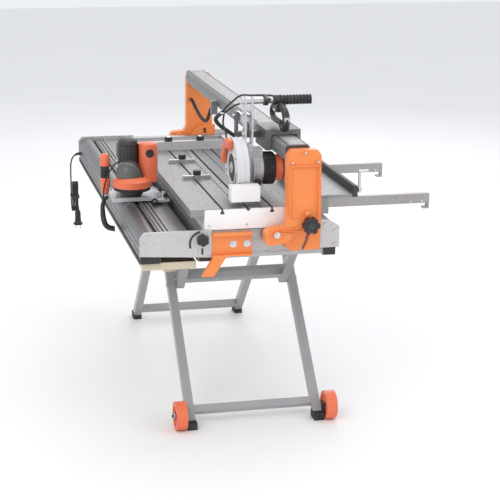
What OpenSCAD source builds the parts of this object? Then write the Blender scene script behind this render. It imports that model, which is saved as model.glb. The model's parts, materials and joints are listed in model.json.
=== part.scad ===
// Bridge wet tile saw on a folding wheeled stand, with an edge profiling unit on its left bench.
// +X is the right side, -Y is the operator's end, +Z is up. The floor is z = 0.

/* [Frame] */
// Length of the frame beams along Y
frame_l = 1680; // [1400:10:2000]
// Height of the underside of the beams above the floor
beam_z = 650; // [600:5:720]
// Height of the main beams
beam_h = 100; // [80:1:120]
// Width of the two inner beams
beam_w = 44; // [36:1:60]
// Centre of the left main beam
beam_left_x = -218; // [-240:1:-200]
// Centre of the right main beam
beam_right_x = 198; // [180:1:240]
// Centre of the outer bench beam
outer_x = -395; // [-420:1:-380]
// Width of the outer bench beam
outer_w = 66; // [50:1:80]
// Wall thickness of beams and tubes
wall = 3; // [2:0.5:4]
// Thickness of the aluminium end plates
plate_t = 8; // [5:1:12]

/* [Stand] */
// Outside diameter of the stand tubes
tube_d = 30; // [25:1:34]
// Distance from the middle to the centre of each front leg
leg_x = 226; // [215:1:240]
// How far the rear legs sit inside the front legs
leg_inset = 6; // [0:1:10]
// Distance from the middle of the frame to each leg pivot along Y
apex_gap = 24; // [20:1:40]
// Angle of each leg frame below the beams when the stand is open
leg_angle = 45; // [40:1:50]
// Distance from a leg pivot to its brace pin
brace_r = 322; // [280:1:360]
// Diameter of the transport wheels
wheel_d = 100; // [80:1:125]
// Width of the transport wheels
wheel_w = 38; // [30:1:45]
// Diameter of the wheel axles and leg pins
pin_d = 10; // [8:1:12]

/* [Table] */
// Height of the table top above the floor
table_z = 820; // [800:1:860]
// Left edge of the table
table_left_x = -264; // [-280:1:-250]
// Right edge of the table
table_right_x = 62; // [50:1:70]
// Thickness of the table extrusion
table_t = 24; // [20:1:30]
// How far the table's front edge is set back from the front of the frame
table_inset = 4; // [0:1:20]
// Length of the table along Y
table_l = 1116; // [1040:1:1200]
// Position of the blade plane
blade_x = -75; // [-85:1:-65]
// Position of the left slot of the table
slot_left_x = -160; // [-175:1:-150]
// Position of the right slot of the table
slot_right_x = 4; // [0:1:10]
// Width of the table slots at the top
slot_w = 7; // [5:0.5:9]
// How far the side table lies below the table top
side_drop = 8; // [4:1:20]

/* [Side table] */
// Left edge of the side table
side_x = 200; // [198:1:210]
// Width of the side table
side_w = 126; // [110:1:160]
// Front edge of the side table
side_y = -672; // [-700:1:-600]
// Length of the side table
side_l = 560; // [480:1:640]
// Height of the extension arms
arm_h = 34; // [26:1:38]
// Width of the extension arms
arm_w = 22; // [16:1:26]

/* [Bridge] */
// Tilt pivot, sideways
pivot_x = 6; // [0:1:12]
// How far the tilt pivot lies below the top of the beams
pivot_drop = 8; // [4:1:15]
// Radius of the tilt quadrant slot
arc_r = 114; // [105:1:120]
// Diameter of the tilt lock screws
lock_d = 10; // [8:1:12]
// Left side of the rail
rail_x = 38; // [34:1:46]
// Width of the rail
rail_w = 84; // [70:1:90]
// Height of the rail's underside above the table
rail_rise = 152; // [145:1:165]
// Height of the rail
rail_h = 54; // [48:1:70]

// How far the extension arms reach to the right of the frame's middle
arm_reach = 604; // [560:1:640]

/* [Saw head] */
// Diameter of the blade
blade_d = 180; // [160:5:184]
// Thickness of the blade
blade_t = 2.4; // [2:0.2:4]
// Position of the saw head along the rail
head_y = -668; // [-700:1:-500]
// Height of the blade axis above the table
axis_rise = 94; // [93:1:96]
// Diameter of the motor's drive end
motor_d = 106; // [80:1:110]
// Diameter of the saw spindle
spindle_d = 16; // [12:1:20]

/* [Profiling unit] */
// Left edge of the profiling unit's carriage
profiler_left = -452; // [-460:1:-440]
// Position of the profiling unit along the bench
profiler_y = -300; // [-400:5:-200]
// Diameter of the profiling wheel
wheel_p_d = 76; // [60:1:90]

/* [Fits] */
// Gap between curved faces that turn on each other
run_gap = 0.4; // [0.3:0.05:0.6]
// Gap between flat faces that slide
slide_gap = 0.5; // [0.3:0.1:1]
// Radial play of pins and shafts in their bores
pin_gap = 0.1; // [0.05:0.01:0.15]

/* [Hidden] */
$fn = 64;
frame_y = frame_l / 2;
table_front_y = -frame_y + table_inset;
table_rear_y = table_front_y + table_l;
side_z = table_z - side_drop;
rail_z = table_z + rail_rise;
axis_z = table_z + axis_rise;
beam_top = beam_z + beam_h;
pivot_z = beam_top - pivot_drop;
pin_bore = pin_d + 2 * pin_gap;
leg_z = beam_z - tube_d / 2 - 4;               // height of the four leg pivots
leg_len = (leg_z - 0) / sin(leg_angle);        // pivot to floor along a leg
rear_leg_x = leg_x - leg_inset;
wheel_y = -apex_gap - (leg_z / tan(leg_angle)) + 6;
axle_z = wheel_d / 2;
wheel_x = leg_x + tube_d / 2 + 8 + wheel_w / 2 - 2;
orange = "#f08a3c";

// The whole saw is drawn so that the middle of its footprint falls on the origin.
mid_x = (arm_reach + profiler_left) / 2;
module placed() { translate([-mid_x, 0, 0]) children(); }

// A block given by its lowest corner and its size.
module block(x, y, z, w, d, h) { translate([x, y, z]) cube([w, d, h]); }

// A solid rod from one point to another.
module rod(a, b, d) {
  v = b - a;
  translate(a) rotate([0, acos(v[2] / norm(v)), atan2(v[1], v[0])]) cylinder(d = d, h = norm(v));
}

// A rod along X, centred on x.
module x_rod(x, y, z, d, l) { translate([x - l / 2, y, z]) rotate([0, 90, 0]) cylinder(d = d, h = l); }

// A rod along Y, starting at y.
module y_rod(x, y, z, d, l) { translate([x, y, z]) rotate([-90, 0, 0]) cylinder(d = d, h = l); }

// An outline in the XZ plane made into a bar along Y from y to y + l.
module y_bar(y, l) { translate([0, y + l, 0]) rotate([90, 0, 0]) linear_extrude(l) children(); }

// A rectangle with rounded corners, given by its lowest corner.
module round_rect(x, z, w, h, r) {
  translate([x + r, z]) square([w - 2 * r, h]);
  translate([x, z + r]) square([w, h - 2 * r]);
  for (i = [0, 1], j = [0, 1])
    translate([x + r + i * (w - 2 * r), z + r + j * (h - 2 * r)]) circle(r);
}

// ---- Frame ----

// A hollow beam outline with two grooves on each side.
module beam_outline(x, w, z = beam_z, h = beam_h) {
  difference() {
    translate([x - w / 2, z]) square([w, h]);
    translate([x - w / 2 + wall, z + wall]) square([w - 2 * wall, h - 2 * wall]);
  }
}
module outer_beam() {
  color("#77787a") y_bar(-frame_y, frame_l) difference() {
    union() {
      translate([outer_x - outer_w / 2, beam_z]) square([outer_w, beam_h - outer_w / 2]);
      translate([outer_x, beam_top - outer_w / 2]) circle(outer_w / 2);
    }
    translate([outer_x - outer_w / 2 + wall, beam_z + wall])
      square([outer_w - 2 * wall, beam_h - outer_w / 2 - wall]);
    translate([outer_x, beam_top - outer_w / 2]) circle(outer_w / 2 - wall);
  }
}
module left_beam() { color("#8d8b8c") y_bar(-frame_y, frame_l) beam_outline(beam_left_x, beam_w); }
module right_beam() { color("#8d8b8c") y_bar(-frame_y, frame_l) beam_outline(beam_right_x, beam_w); }

// The cross bars stand between the two main beams, one at each end.
cross_x = beam_left_x + beam_w / 2;
cross_l = beam_right_x - beam_w / 2 - cross_x;
cross_d = 40;
module crossmember(y) {
  color("#9a9897") difference() {
    block(cross_x, y, beam_z + 8, cross_l, cross_d, beam_h - 8);
    block(cross_x - 1, y + wall, beam_z + 8 + wall, cross_l + 2, cross_d - 2 * wall, 34);
    block(cross_x - 1, y + wall, beam_z + 48, cross_l + 2, cross_d - 2 * wall, beam_h - 48 - wall);
    for (z = [beam_z + 22, beam_z + 66])
      block(cross_x - 1, y - 1, z, cross_l + 2, 2.5, 5);
  }
}
module front_crossmember() { crossmember(-frame_y); }
module rear_crossmember() { mirror([0, 1, 0]) crossmember(-frame_y); }

// Flat end plates close the beams at both ends of the frame.
plate_left_x = outer_x - outer_w / 2 - 2;
plate_right_x = beam_right_x - beam_w / 2 - 12;
plate_right_w = beam_w + 22;
module end_plate_pair() {
  y_bar(-frame_y - plate_t, plate_t) {
    polygon([[plate_left_x, beam_z + 28], [plate_left_x, beam_top - 10], [plate_left_x + 14, beam_top + 6],
      [cross_x, beam_top + 6], [cross_x, beam_z + 14]]);
    polygon([[plate_right_x, beam_z + 28], [plate_right_x, beam_top + 20],
      [plate_right_x + 30, beam_top + 20], [plate_right_x + plate_right_w, beam_top],
      [plate_right_x + plate_right_w, beam_z + 28]]);
  }
}
module end_plates() {
  color("#cfc9c9") { end_plate_pair(); mirror([0, 1, 0]) end_plate_pair(); }
}

// A cast channel on each cross bar ties it to the left beam, with a leg below.
bracket_l = 132;
module corner_bracket() {
  translate([0, -frame_y - plate_t, 0]) difference() {
    union() {
      block(cross_x, 0, beam_z + 18, bracket_l, plate_t, 76);
      block(cross_x, -14, beam_z + 86, bracket_l, 15, 8);
      block(cross_x, -14, beam_z + 18, bracket_l, 15, 6);
      y_bar(-14, 14) polygon([[cross_x + 2, beam_z + 18], [cross_x + 46, beam_z + 18],
        [cross_x + 4, beam_z - 46], [cross_x - 36, beam_z - 46]]);
    }
    for (x = [cross_x + 70, cross_x + 116]) y_rod(x, -1, beam_z + 56, 7, plate_t + 2);
  }
}
module corner_brackets() { color(orange) { corner_bracket(); mirror([0, 1, 0]) corner_bracket(); } }

// The bench between the outer beam and the left beam carries the profiling unit's rails.
bench_x = outer_x + outer_w / 2;
bench_front_w = 100;
module bench_plate() {
  color("#8b8887") difference() {
    union() {
      block(bench_x, -frame_y, beam_top - 22, bench_front_w, frame_l, 12);
      for (i = [0:2]) block(bench_x + 6 + i * 14, -frame_y, beam_top - 10, 7, frame_l, 6);
    }
  }
}

// Two ears on each beam carry the leg pivots.
ear_t = 6;
ear_gap = 1;
module leg_ear(x, y) {
  color("#6f6f71") difference() {
    block(x - ear_t / 2, y - 18, leg_z - 12, ear_t, 36, beam_z - leg_z + 12);
    x_rod(x, y, leg_z, pin_bore, ear_t + 2);
  }
}
ear_front_x = leg_x - tube_d / 2 - ear_gap - ear_t / 2;
ear_rear_x = rear_leg_x - tube_d / 2 - ear_gap - ear_t / 2;
module leg_hinges() {
  for (s = [-1, 1]) {
    leg_ear(s * ear_front_x, -apex_gap);
    leg_ear(s * ear_rear_x, apex_gap);
    color("#6f6f71") {
      x_rod(s * (leg_x - 4), -apex_gap, leg_z, pin_d, tube_d + 12);
      x_rod(s * (rear_leg_x - 4), apex_gap, leg_z, pin_d, tube_d + 12);
      brace_guide(s * (leg_x - brace_in), -1);
      brace_guide(s * (rear_leg_x - brace_in), 1);
    }
  }
}

// A slotted angle under each beam guides the top pin of a brace as the stand folds.
guide_t = 3;
brace_open_y = apex_gap + 2 * brace_r * cos(leg_angle);
brace_shut_y = apex_gap + 2 * brace_r;
module brace_guide(x, side) {
  s = sign(x);
  in_x = abs(x) - tube_d / 2 - 4 - guide_t;
  mirror([s < 0 ? 1 : 0, 0, 0]) mirror([0, side < 0 ? 1 : 0, 0]) difference() {
    union() {
      block(in_x, brace_open_y - 30, leg_z - 16, guide_t, brace_shut_y - brace_open_y + 50, beam_z - leg_z + 16);
      block(in_x, brace_open_y - 30, beam_z - guide_t, tube_d + 10, brace_shut_y - brace_open_y + 50, guide_t);
    }
    block(in_x - 1, brace_open_y - pin_d / 2 - slide_gap, leg_z - pin_d / 2 - slide_gap, guide_t + 2,
      brace_shut_y - brace_open_y + pin_d + 2 * slide_gap, pin_d + 2 * slide_gap);
  }
}

// ---- Stand ----

// A square steel tube of the stand, upright from z = bottom to z = top.
module tube(x, top, bottom) {
  translate([x, 0, bottom]) difference() {
    linear_extrude(top - bottom) square(tube_d, center = true);
    translate([0, 0, -1]) linear_extrude(top - bottom + 2) square(tube_d - 2 * wall, center = true);
  }
}
// A square cross bar along X, l long, centred on the middle of the stand.
module cross_bar(z, w, l) { translate([-l / 2, -w / 2, z - w / 2]) cube([l, w, w]); }
// Moves a leg drawn hanging down from its pivot to its place; side -1 is the front, 1 the rear.
module leg_place(side) {
  translate([0, side * apex_gap, leg_z]) rotate([side * (90 - leg_angle), 0, 0]) children();
}
foot_z = 26;
bar_w = tube_d - 4;
brace_in = tube_d + 2;                         // braces run just inside the legs
tube_end = leg_len - (foot_z - 8) / sin(leg_angle);
module leg_frame(x) {
  for (s = [-1, 1]) difference() {
    union() {
      tube(s * x, 0, -tube_end);
      x_rod(s * x, 0, 0, tube_d, tube_d);
    }
    translate([s * x, 0, 0]) rotate([0, 90, 0]) cylinder(d = pin_bore, h = tube_d + 2, center = true);
  }
  for (z = [-brace_r + 42, -tube_end + 46])
    cross_bar(z, bar_w, 2 * x - tube_d + 2);
  for (s = [-1, 1]) x_rod(s * (x - brace_in / 2), 0, -brace_r, pin_d, brace_in + tube_d);
}
module front_legs() { color("#a7a7a9") leg_place(-1) leg_frame(leg_x); }
module rear_legs() { color("#a7a7a9") leg_place(1) leg_frame(rear_leg_x); }
foot_y = apex_gap + (leg_z - foot_z / 2) / tan(leg_angle);
module feet(x, side) {
  for (s = [-1, 1]) color("#1c1c1e") difference() {
    block(s * x - tube_d / 2 - 2, side * foot_y - tube_d / 2 - 12, 0, tube_d + 4, tube_d + 24, foot_z);
    leg_place(side) translate([s * x, 0, -tube_end]) linear_extrude(tube_end) square(tube_d, center = true);
  }
}
lug_t = 3;
module front_feet() {
  feet(leg_x, -1);
  // Lugs on the feet carry the wheel axles.
  color("#1c1c1e") for (s = [-1, 1]) {
    x0 = leg_x + tube_d / 2 + 2;
    block(s > 0 ? x0 : -x0 - lug_t, wheel_y - 14, 2, lug_t, 28, axle_z + 10);
    x_rod(s * (x0 + (wheel_w + 14) / 2), wheel_y, axle_z, pin_d, wheel_w + 14);
  }
}
module rear_feet() { feet(rear_leg_x, 1); }

// A brace drawn pointing up from its pin; it leans away from its leg as the stand opens.
module brace(x, side) {
  color("#a7a7a9") translate([0, side * (apex_gap + brace_r * cos(leg_angle)), leg_z - brace_r * sin(leg_angle)])
    rotate([-side * (90 - leg_angle), 0, 0]) {
      for (s = [-1, 1]) difference() {
        union() {
          tube(s * x, brace_r, 0);
          x_rod(s * x, 0, 0, tube_d, tube_d);
          x_rod(s * x, 0, brace_r, tube_d, tube_d);
          x_rod(s * (x - 8), 0, brace_r, pin_d, tube_d + 12);
        }
        translate([s * x, 0, 0]) rotate([0, 90, 0]) cylinder(d = pin_bore, h = tube_d + 2, center = true);
      }
      cross_bar(44, bar_w, 2 * x - tube_d + 2);
    }
}
module front_brace() { brace(leg_x - brace_in, -1); }
module rear_brace() { brace(rear_leg_x - brace_in, 1); }

module wheel(x) {
  translate([x, wheel_y, axle_z]) rotate([0, 90, 0]) {
    color("#e8772a") difference() {
      cylinder(d = wheel_d, h = wheel_w, center = true);
      for (s = [-1, 1]) translate([0, 0, s * wheel_w / 2]) cylinder(d = wheel_d - 26, h = 8, center = true);
      cylinder(d = pin_bore, h = wheel_w + 2, center = true);
    }
  }
}
module wheel_left() { wheel(-wheel_x); }
module wheel_right() { wheel(wheel_x); }

// ---- Table, trays and side table ----

// A T slot seen from the end, open at the top.
module slot_outline(x) {
  translate([x - slot_w / 2, table_z - 10]) square([slot_w, 12]);
  translate([x - slot_w, table_z - 16]) square([2 * slot_w, 8]);
}
tilted_cut_x = pivot_x + (blade_x - pivot_x) / cos(45) + (table_z - pivot_z);  // tilted blade at the table
module main_table() {
  color("#8f8d8e") y_bar(table_front_y, table_rear_y - table_front_y) difference() {
    translate([table_left_x, table_z - table_t]) square([table_right_x - table_left_x, table_t]);
    slot_outline(slot_left_x);
    slot_outline(slot_right_x);
    translate([blade_x - 4, table_z - 12]) square([8, 14]);
    translate([blade_x, table_z - 13]) rotate(45) square([12, 12], center = true);
    translate([blade_x - 30, table_z - 3]) square([5, 4]);
    translate([tilted_cut_x, table_z]) rotate(-45) square([6, 34], center = true);
  }
}

tray_x = table_left_x + 46;
tray_w = table_right_x - 8 - tray_x;
tray_h = table_z - table_t - beam_top;
module water_tray() {
  color("#f4f2f2") difference() {
    block(tray_x, table_front_y + 2, beam_top, tray_w, table_rear_y - table_front_y - 20, tray_h);
    block(tray_x + wall, table_front_y + 2 + wall, beam_top + wall, tray_w - 2 * wall,
      table_rear_y - table_front_y - 20 - 2 * wall, tray_h);
  }
}
// Beige tray under the bench, with a drain and its cap.
side_tray_x = outer_x - outer_w / 2 + 10;
side_tray_w = beam_left_x - beam_w / 2 - 4 - side_tray_x;
drain_x = side_tray_x + 96;
drain_y = -frame_y + 70;
module side_tray() {
  color("#d8ccb2") difference() {
    block(side_tray_x, -frame_y + 12, beam_z - 24, side_tray_w, frame_l - 24, 24);
    block(side_tray_x + wall, -frame_y + 12 + wall, beam_z - 24 + wall, side_tray_w - 2 * wall,
      frame_l - 24 - 2 * wall, 24);
    translate([drain_x, drain_y, beam_z - 25]) cylinder(d = 30, h = 6);
  }
}
module drain_cap() {
  color("#b4a98f") translate([drain_x, drain_y, beam_z - 42]) difference() {
    union() {
      cylinder(d = 46, h = 18);
      translate([0, 0, 17]) cylinder(d = 30 - 2 * run_gap, h = 6);
    }
    for (a = [0:15:345]) rotate(a) translate([23, 0, -1]) cylinder(d = 3, h = 20);
  }
}
module pump() {
  z = beam_top + wall;
  color("#26282b") {
    block(tray_x + 20, table_front_y + 60, z, 70, 60, 26);
    translate([tray_x + 55, table_front_y + 90, z + 26]) cylinder(d = 16, h = 6);
  }
}

arm_in = side_x + 6;
arm_front_y = side_y + 8;
arm_rear_y = side_y + side_l - arm_w - 8;
arm_top = side_z - 10 - slide_gap;
module side_table() {
  color("#98938f") difference() {
    block(side_x, side_y, side_z - 10, side_w, side_l, 10);
    block(side_x - 1, side_y + 12, side_z - 7, side_w + 2, side_l - 24, 4);
  }
  // Two posts with guides for the extension arms stand on the right beam.
  color("#6f6f71") for (y = [arm_front_y, arm_rear_y]) difference() {
    block(side_x, y - 16, beam_top, 40, arm_w + 32, side_z - 10 - beam_top);
    block(side_x - 1, y - slide_gap, arm_top - arm_h - slide_gap, 42, arm_w + 2 * slide_gap,
      arm_h + 2 * slide_gap + 0.01);
  }
}
module side_fence() {
  color("#3b3a3c") block(side_x + side_w, side_y - 6, side_z - 9, 16, side_l + 12, 35);
  color("#c9c7c8") {
    block(side_x + side_w + 2, side_y - 6, side_z + 26, 12, side_l + 12, 4);
    x_rod(lever_x + 4, side_y + 16, lever_z, pin_d, 20);
  }
}
// An extension arm with a hooked end slides out from under the side table.
module arm(y) {
  color("#8f8b87") {
    block(arm_in, y, arm_top - arm_h, arm_reach - arm_in - 8, arm_w, arm_h);
    block(arm_reach - 8, y, arm_top - arm_h - 20, 8, arm_w, arm_h + 20);
    block(arm_reach - 22, y, arm_top - arm_h - 20, 14, arm_w, 8);
  }
}
module arm_front() { arm(arm_front_y); }
module arm_rear() { arm(arm_rear_y); }
lever_x = side_x + side_w + 22;
lever_z = side_z + 12;
module clamp_lever() {
  color("#2a2a2c") {
    difference() {
      x_rod(lever_x + 6, side_y + 16, lever_z, 22, 10);
      x_rod(lever_x + 6, side_y + 16, lever_z, pin_bore, 12);
    }
    block(lever_x + 2, side_y + 11, lever_z + 6, 8, 10, 60);
    block(lever_x + 2, side_y + 11, lever_z + 58, 34, 10, 8);
  }
}

// Fence bar across the rear of the table, held by two star knobs in the table slots.
bar_y = 150;
bar_z = table_z + slide_gap;
knob_z = bar_z + 34;
module fence_bar() {
  color("#c3c1c2") difference() {
    block(table_left_x - 14, bar_y, bar_z, table_right_x - table_left_x + 4, 26, 34);
    for (x = [slot_left_x, slot_right_x - 40]) translate([x, bar_y + 13, bar_z - 1]) cylinder(d = 8, h = 36);
  }
}
module star_knob(d, h) {
  difference() {
    cylinder(d = d, h = h);
    for (a = [0:60:300]) rotate(a + 30) translate([d * 0.56, 0, -1]) cylinder(d = d * 0.3, h = h + 2, $fn = 24);
  }
}
module fence_knob(x) {
  color("#222224") translate([x, bar_y + 13, knob_z + slide_gap]) {
    star_knob(30, 16);
    translate([0, 0, -24]) cylinder(d = 8 - 2 * pin_gap, h = 24.01);
  }
}
module fence_knob_left() { fence_knob(slot_left_x); }
module fence_knob_right() { fence_knob(slot_right_x - 40); }

// A sliding stop for a tile, clamped in the left slot.
module table_stop(y) {
  z = table_z + slide_gap;
  color("#b9b6b6") block(slot_left_x - 42, y, z, 98, 14, 12);
  color("#222224") translate([slot_left_x + 8, y + 7, z + 12]) star_knob(26, 18);
  color("#b9b6b6") block(slot_left_x - slot_w / 2 + slide_gap, y + 1, z - 10, slot_w - 2 * slide_gap, 12, 10.01);
}
module table_stop_rear() { table_stop(-90); }
module table_stop_front() { table_stop(-376); }

// ---- Tilting bridge ----

quad_back = -frame_y;
quad_t = 16;
tower_back = frame_y + quad_t + 1;
tower_t = 38;
lock_a = 14;
lock_x = pivot_x + arc_r * cos(lock_a);
lock_z = pivot_z + arc_r * sin(lock_a);
pivot_d = 14;
module arc_slot(y, l) {
  for (a = [lock_a + 1:-2:lock_a - 47])
    y_rod(pivot_x + arc_r * cos(a), y, pivot_z + arc_r * sin(a), lock_d + 1.6, l);
}
module tilt_mount() {
  color(orange) difference() {
    translate([0, quad_back, 0]) rotate([90, 0, 0]) linear_extrude(quad_t)
      polygon([[44, 690], [60, 676], [158, 676], [162, 686], [162, 792], [96, 792], [56, 752], [44, 722]]);
    arc_slot(quad_back - quad_t - 1, quad_t + 2);
  }
  color("#8b8b8d") {
    y_rod(pivot_x, -tower_back - tower_t - 8, pivot_z, pivot_d, tower_back + tower_t + 8 - frame_y);
    y_rod(pivot_x, quad_back - quad_t, pivot_z, 34, quad_t);
    y_rod(pivot_x, -tower_back - tower_t - 9, pivot_z, 24, 8.5);
  }
}
module tilt_mounts() { tilt_mount(); mirror([0, 1, 0]) tilt_mount(); }
tower_top = rail_z + 43;
tower_r = 52;
module tower_outline() {
  polygon([[-18, 704], [40, 712], [66, 738], [100, 748], [150, 750], [154, 760],
    [151, tower_top - tower_r], [41, tower_top - tower_r], [40, 782], [30, 766], [-20, 760],
    [-31, 748], [-31, 716]]);
  translate([96, tower_top - tower_r + 8]) intersection() {
    translate([-55, -10]) square([110, 54]);
    circle(60);
  }
}
module tower() {
  color(orange) difference() {
    y_bar(-tower_back - tower_t, tower_t) tower_outline();
    y_bar(-tower_back - tower_t - 1, 5) polygon([[52, 790], [140, 790], [139, tower_top - 55], [53, tower_top - 55]]);
    y_rod(pivot_x, -tower_back - tower_t - 1, pivot_z, pivot_d + 2 * pin_gap, tower_t + 2);
    y_rod(lock_x, -tower_back - tower_t - 1, lock_z, lock_d + 2 * pin_gap, tower_t + 2);
  }
  color("#5a5a5c") for (p = [[96, tower_top - 9], [54, tower_top - 39], [138, tower_top - 39]])
    y_rod(p[0], -tower_back - tower_t - 4, p[1], 9, 4);
}
module front_tower() { tower(); }
module rear_tower() { mirror([0, 1, 0]) tower(); }
module rail() {
  color("#77777a") y_bar(-tower_back, 2 * tower_back) difference() {
    round_rect(rail_x, rail_z, rail_w, rail_h, 12);
    round_rect(rail_x + 5, rail_z + 5, rail_w - 10, rail_h - 10, 8);
    for (z = [rail_z + 14, rail_z + 34]) translate([rail_x - 1, z]) square([3, 6]);
  }
  // A clip on the left of the rail holds the far end of the cable hose.
  color("#2a2a2c") block(rail_x - 24, 190, rail_z - 24, 24, 24, 52);
}
module tilt_knob() {
  color("#1f2021") translate([lock_x, -tower_back - tower_t - 1, lock_z]) rotate([90, 0, 0]) {
    star_knob(56, 24);
    translate([0, 0, -tower_t - quad_t]) cylinder(d = lock_d, h = tower_t + quad_t + 0.01);
  }
}
module tilt_knob_front() { tilt_knob(); }
module tilt_knob_rear() { mirror([0, 1, 0]) tilt_knob(); }

// ---- Saw carriage and head ----

car_l = 150;
car_y = head_y - 20;
hinge_y = head_y + 92;
hinge_z = rail_z + rail_h + 50;
plunge = 12;                                   // how far the head comes down to cut
module saw_carriage() {
  x0 = rail_x - 20;
  color("#9c9a9a") difference() {
    union() {
      block(x0, car_y, rail_z + 4, 19, car_l, rail_h + 14);
      block(x0, car_y, rail_z + rail_h + 1, rail_w + 34, car_l, 17);
      block(rail_x + rail_w + 1, car_y, rail_z + 22, 13, car_l, rail_h - 4);
      for (x = [-62, -20]) block(x, hinge_y - 14, rail_z + 50, 8, 28, hinge_z - rail_z - 36);
      block(-62, hinge_y - 14, rail_z + 30, 81, 28, 21);
    }
    for (z = [hinge_z, hinge_z - plunge]) x_rod(-40, hinge_y, z, pin_bore, 60);
    block(-70, hinge_y - pin_bore / 2, hinge_z - plunge, 60, pin_bore, plunge);
  }
}
module head_fork() {
  color("#c8c8ca") difference() {
    union() {
      for (x = [-53, -30]) {
        block(x, head_y - 16, axis_z + 70, 7, 32, 226 - 70 + 12);
        block(x, head_y - 16, hinge_z - 14, 7, hinge_y - head_y + 30, 28);
      }
      x_rod(-38, hinge_y, hinge_z, pin_d, 64);
    }
    x_rod(-40, head_y, axis_z + 226, 22, 60);
  }
}
module gearbox() {
  color("#bdbcbd") difference() {
    union() {
      block(-45.9, head_y - 26, axis_z - 52, 15.8, 52, 136);
      block(-30.1, head_y - 26, axis_z - 62, 36, 52, 131);
      x_rod(-11, head_y, axis_z, 96, 34);
    }
    x_rod(-28, head_y, axis_z, spindle_d + 2 * pin_gap, 72);
  }
}
module motor_body() {
  color("#232426") {
    x_rod(27, head_y, axis_z, motor_d, 40);
    x_rod(86, head_y, axis_z, motor_d - 30, 8);
  }
}
module motor_cover() {
  color("#d9552f") difference() {
    x_rod(64.5, head_y, axis_z, motor_d - 18, 35);
    for (a = [0:15:345]) translate([0, head_y, axis_z]) rotate([a, 0, 0])
      block(56, motor_d / 2 - 11, -1.5, 20, 6, 3);
  }
}
guard_r = 104;
guard_l = blade_x - 19;
guard_r_x = -54;
module blade_guard() {
  color("#dedee0") difference() {
    x_rod((guard_l + guard_r_x) / 2, head_y, axis_z, 2 * guard_r, guard_r_x - guard_l);
    x_rod((guard_l + guard_r_x) / 2, head_y, axis_z, 2 * guard_r - 8, guard_r_x - guard_l - 6);
    block(guard_l - 1, head_y - 120, axis_z - 120, 60, 240, 86);
    x_rod(guard_l, head_y - 46, axis_z - 6, 66, 12);
    x_rod(guard_l, head_y, axis_z, 40, 12);
    x_rod(guard_r_x, head_y, axis_z, 40, 12);
  }
}
module splash_guard() {
  z0 = table_z + plunge + 3;
  color("#f1efe8") difference() {
    block(-126, head_y - guard_r - 46, z0, 96, 44, 52);
    block(-123, head_y - guard_r - 43, z0 - 1, 90, 42, 50);
  }
}
module blade() {
  color("#9c9ea2") difference() {
    x_rod(blade_x, head_y, axis_z, blade_d, blade_t);
    x_rod(blade_x, head_y, axis_z, spindle_d, blade_t + 2);
  }
}
module saw_spindle() {
  color("#8d8f92") {
    x_rod(-47, head_y, axis_z, spindle_d, 100);
    for (s = [-1, 1]) x_rod(blade_x + s * (blade_t / 2 + 3), head_y, axis_z, 34, 6);
  }
}
bar_top = axis_z + 226;
module handle_bar() { color("#cfcfd1") x_rod(56, head_y, bar_top, 22, 232); }
module switch_handle() {
  color("#1e1f21") difference() {
    union() {
      x_rod(121, head_y, bar_top, 34, 104);
      block(32, head_y - 15, rail_z + rail_h + 32, 68, 30, 80);
    }
    x_rod(96, head_y, bar_top, 22, 152);
    block(46, head_y - 16, rail_z + rail_h + 46, 40, 32, 46);
    block(57, head_y - 8, rail_z + rail_h + 91, 18, 16, 13);
  }
}
module trigger() {
  z = rail_z + rail_h + 78;
  color("#b9b9bb") {
    block(48, head_y - 12, z, 36, 24, 8);
    block(58, head_y - 7, z + 8, 16, 14, 12);
  }
}
module lock_lever() {
  color("#2c2d2f") difference() {
    union() {
      x_rod(20, head_y, bar_top, 34, 14);
      block(14, head_y - 50, bar_top + 5, 12, 40, 9);
    }
    x_rod(20, head_y, bar_top, 22 + 2 * run_gap, 20);
  }
}

// ---- Profiling unit ----

bench_z = beam_top + slide_gap;
module profiler_carriage() {
  color("#b9b9bb") {
    difference() {
      block(profiler_left, profiler_y - 80, bench_z, 178, 150, 14);
      for (y = [-60, 50]) translate([-300, profiler_y + y, bench_z - 1]) cylinder(d = 9, h = 16);
    }
    block(-416, profiler_y + 40, bench_z + 14, 70, 20, 120);
    block(-316, profiler_y - 112, bench_z + 2, 60, 32, 8);
  }
  color("#242526") for (x = [-300, -276])
    translate([x, profiler_y - 96, bench_z + 10]) cylinder(d = 16, h = 24);
}
mot_y = profiler_y + 4;
module profiler_motor() {
  color("#2b2b2d") {
    translate([-384, mot_y, bench_z + 88]) difference() {
      cylinder(d = 68, h = 110);
      for (a = [0:20:340]) rotate(a) translate([34, 0, 10]) cylinder(d = 4, h = 90, $fn = 20);
    }
    block(-416, mot_y + 20, bench_z + 134, 70, 42, 50);
  }
}
module profiler_cover() {
  color("#ee7d52") difference() {
    translate([-316, mot_y, bench_z + 60]) linear_extrude(130) {
      translate([-32, -30]) square([64, 50]);
      translate([0, -30]) circle(32);
    }
    translate([-316, mot_y - 36, bench_z + 182]) cylinder(d = 18, h = 12);
    translate([-384, mot_y, bench_z + 50]) cylinder(d = 69, h = 150);
  }
}
hood_x = -378;
hood_y = profiler_y - 46;
module profiler_hood() {
  color("#ee7d52") translate([hood_x, hood_y, bench_z + 48]) difference() {
    union() {
      cylinder(d = 132, h = 22);
      translate([0, 0, 21.9]) cylinder(d1 = 132, d2 = 96, h = 14);
    }
    translate([0, 0, -1]) cylinder(d = 124, h = 20);
    translate([29.5, -13, -1]) cube([80, 120, 60]);
    translate([0, 0, 10]) cylinder(d = 16 + 2 * pin_gap, h = 40);
  }
}
module profiler_wheel() {
  color("#2a2a2c") {
    translate([hood_x, hood_y, bench_z + 22]) cylinder(d = wheel_p_d, h = 30);
    translate([hood_x, hood_y, bench_z + 51]) cylinder(d = 16, h = 32);
  }
}

// ---- Mains cord, its hank and plug, and the hose to the saw head ----

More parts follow.
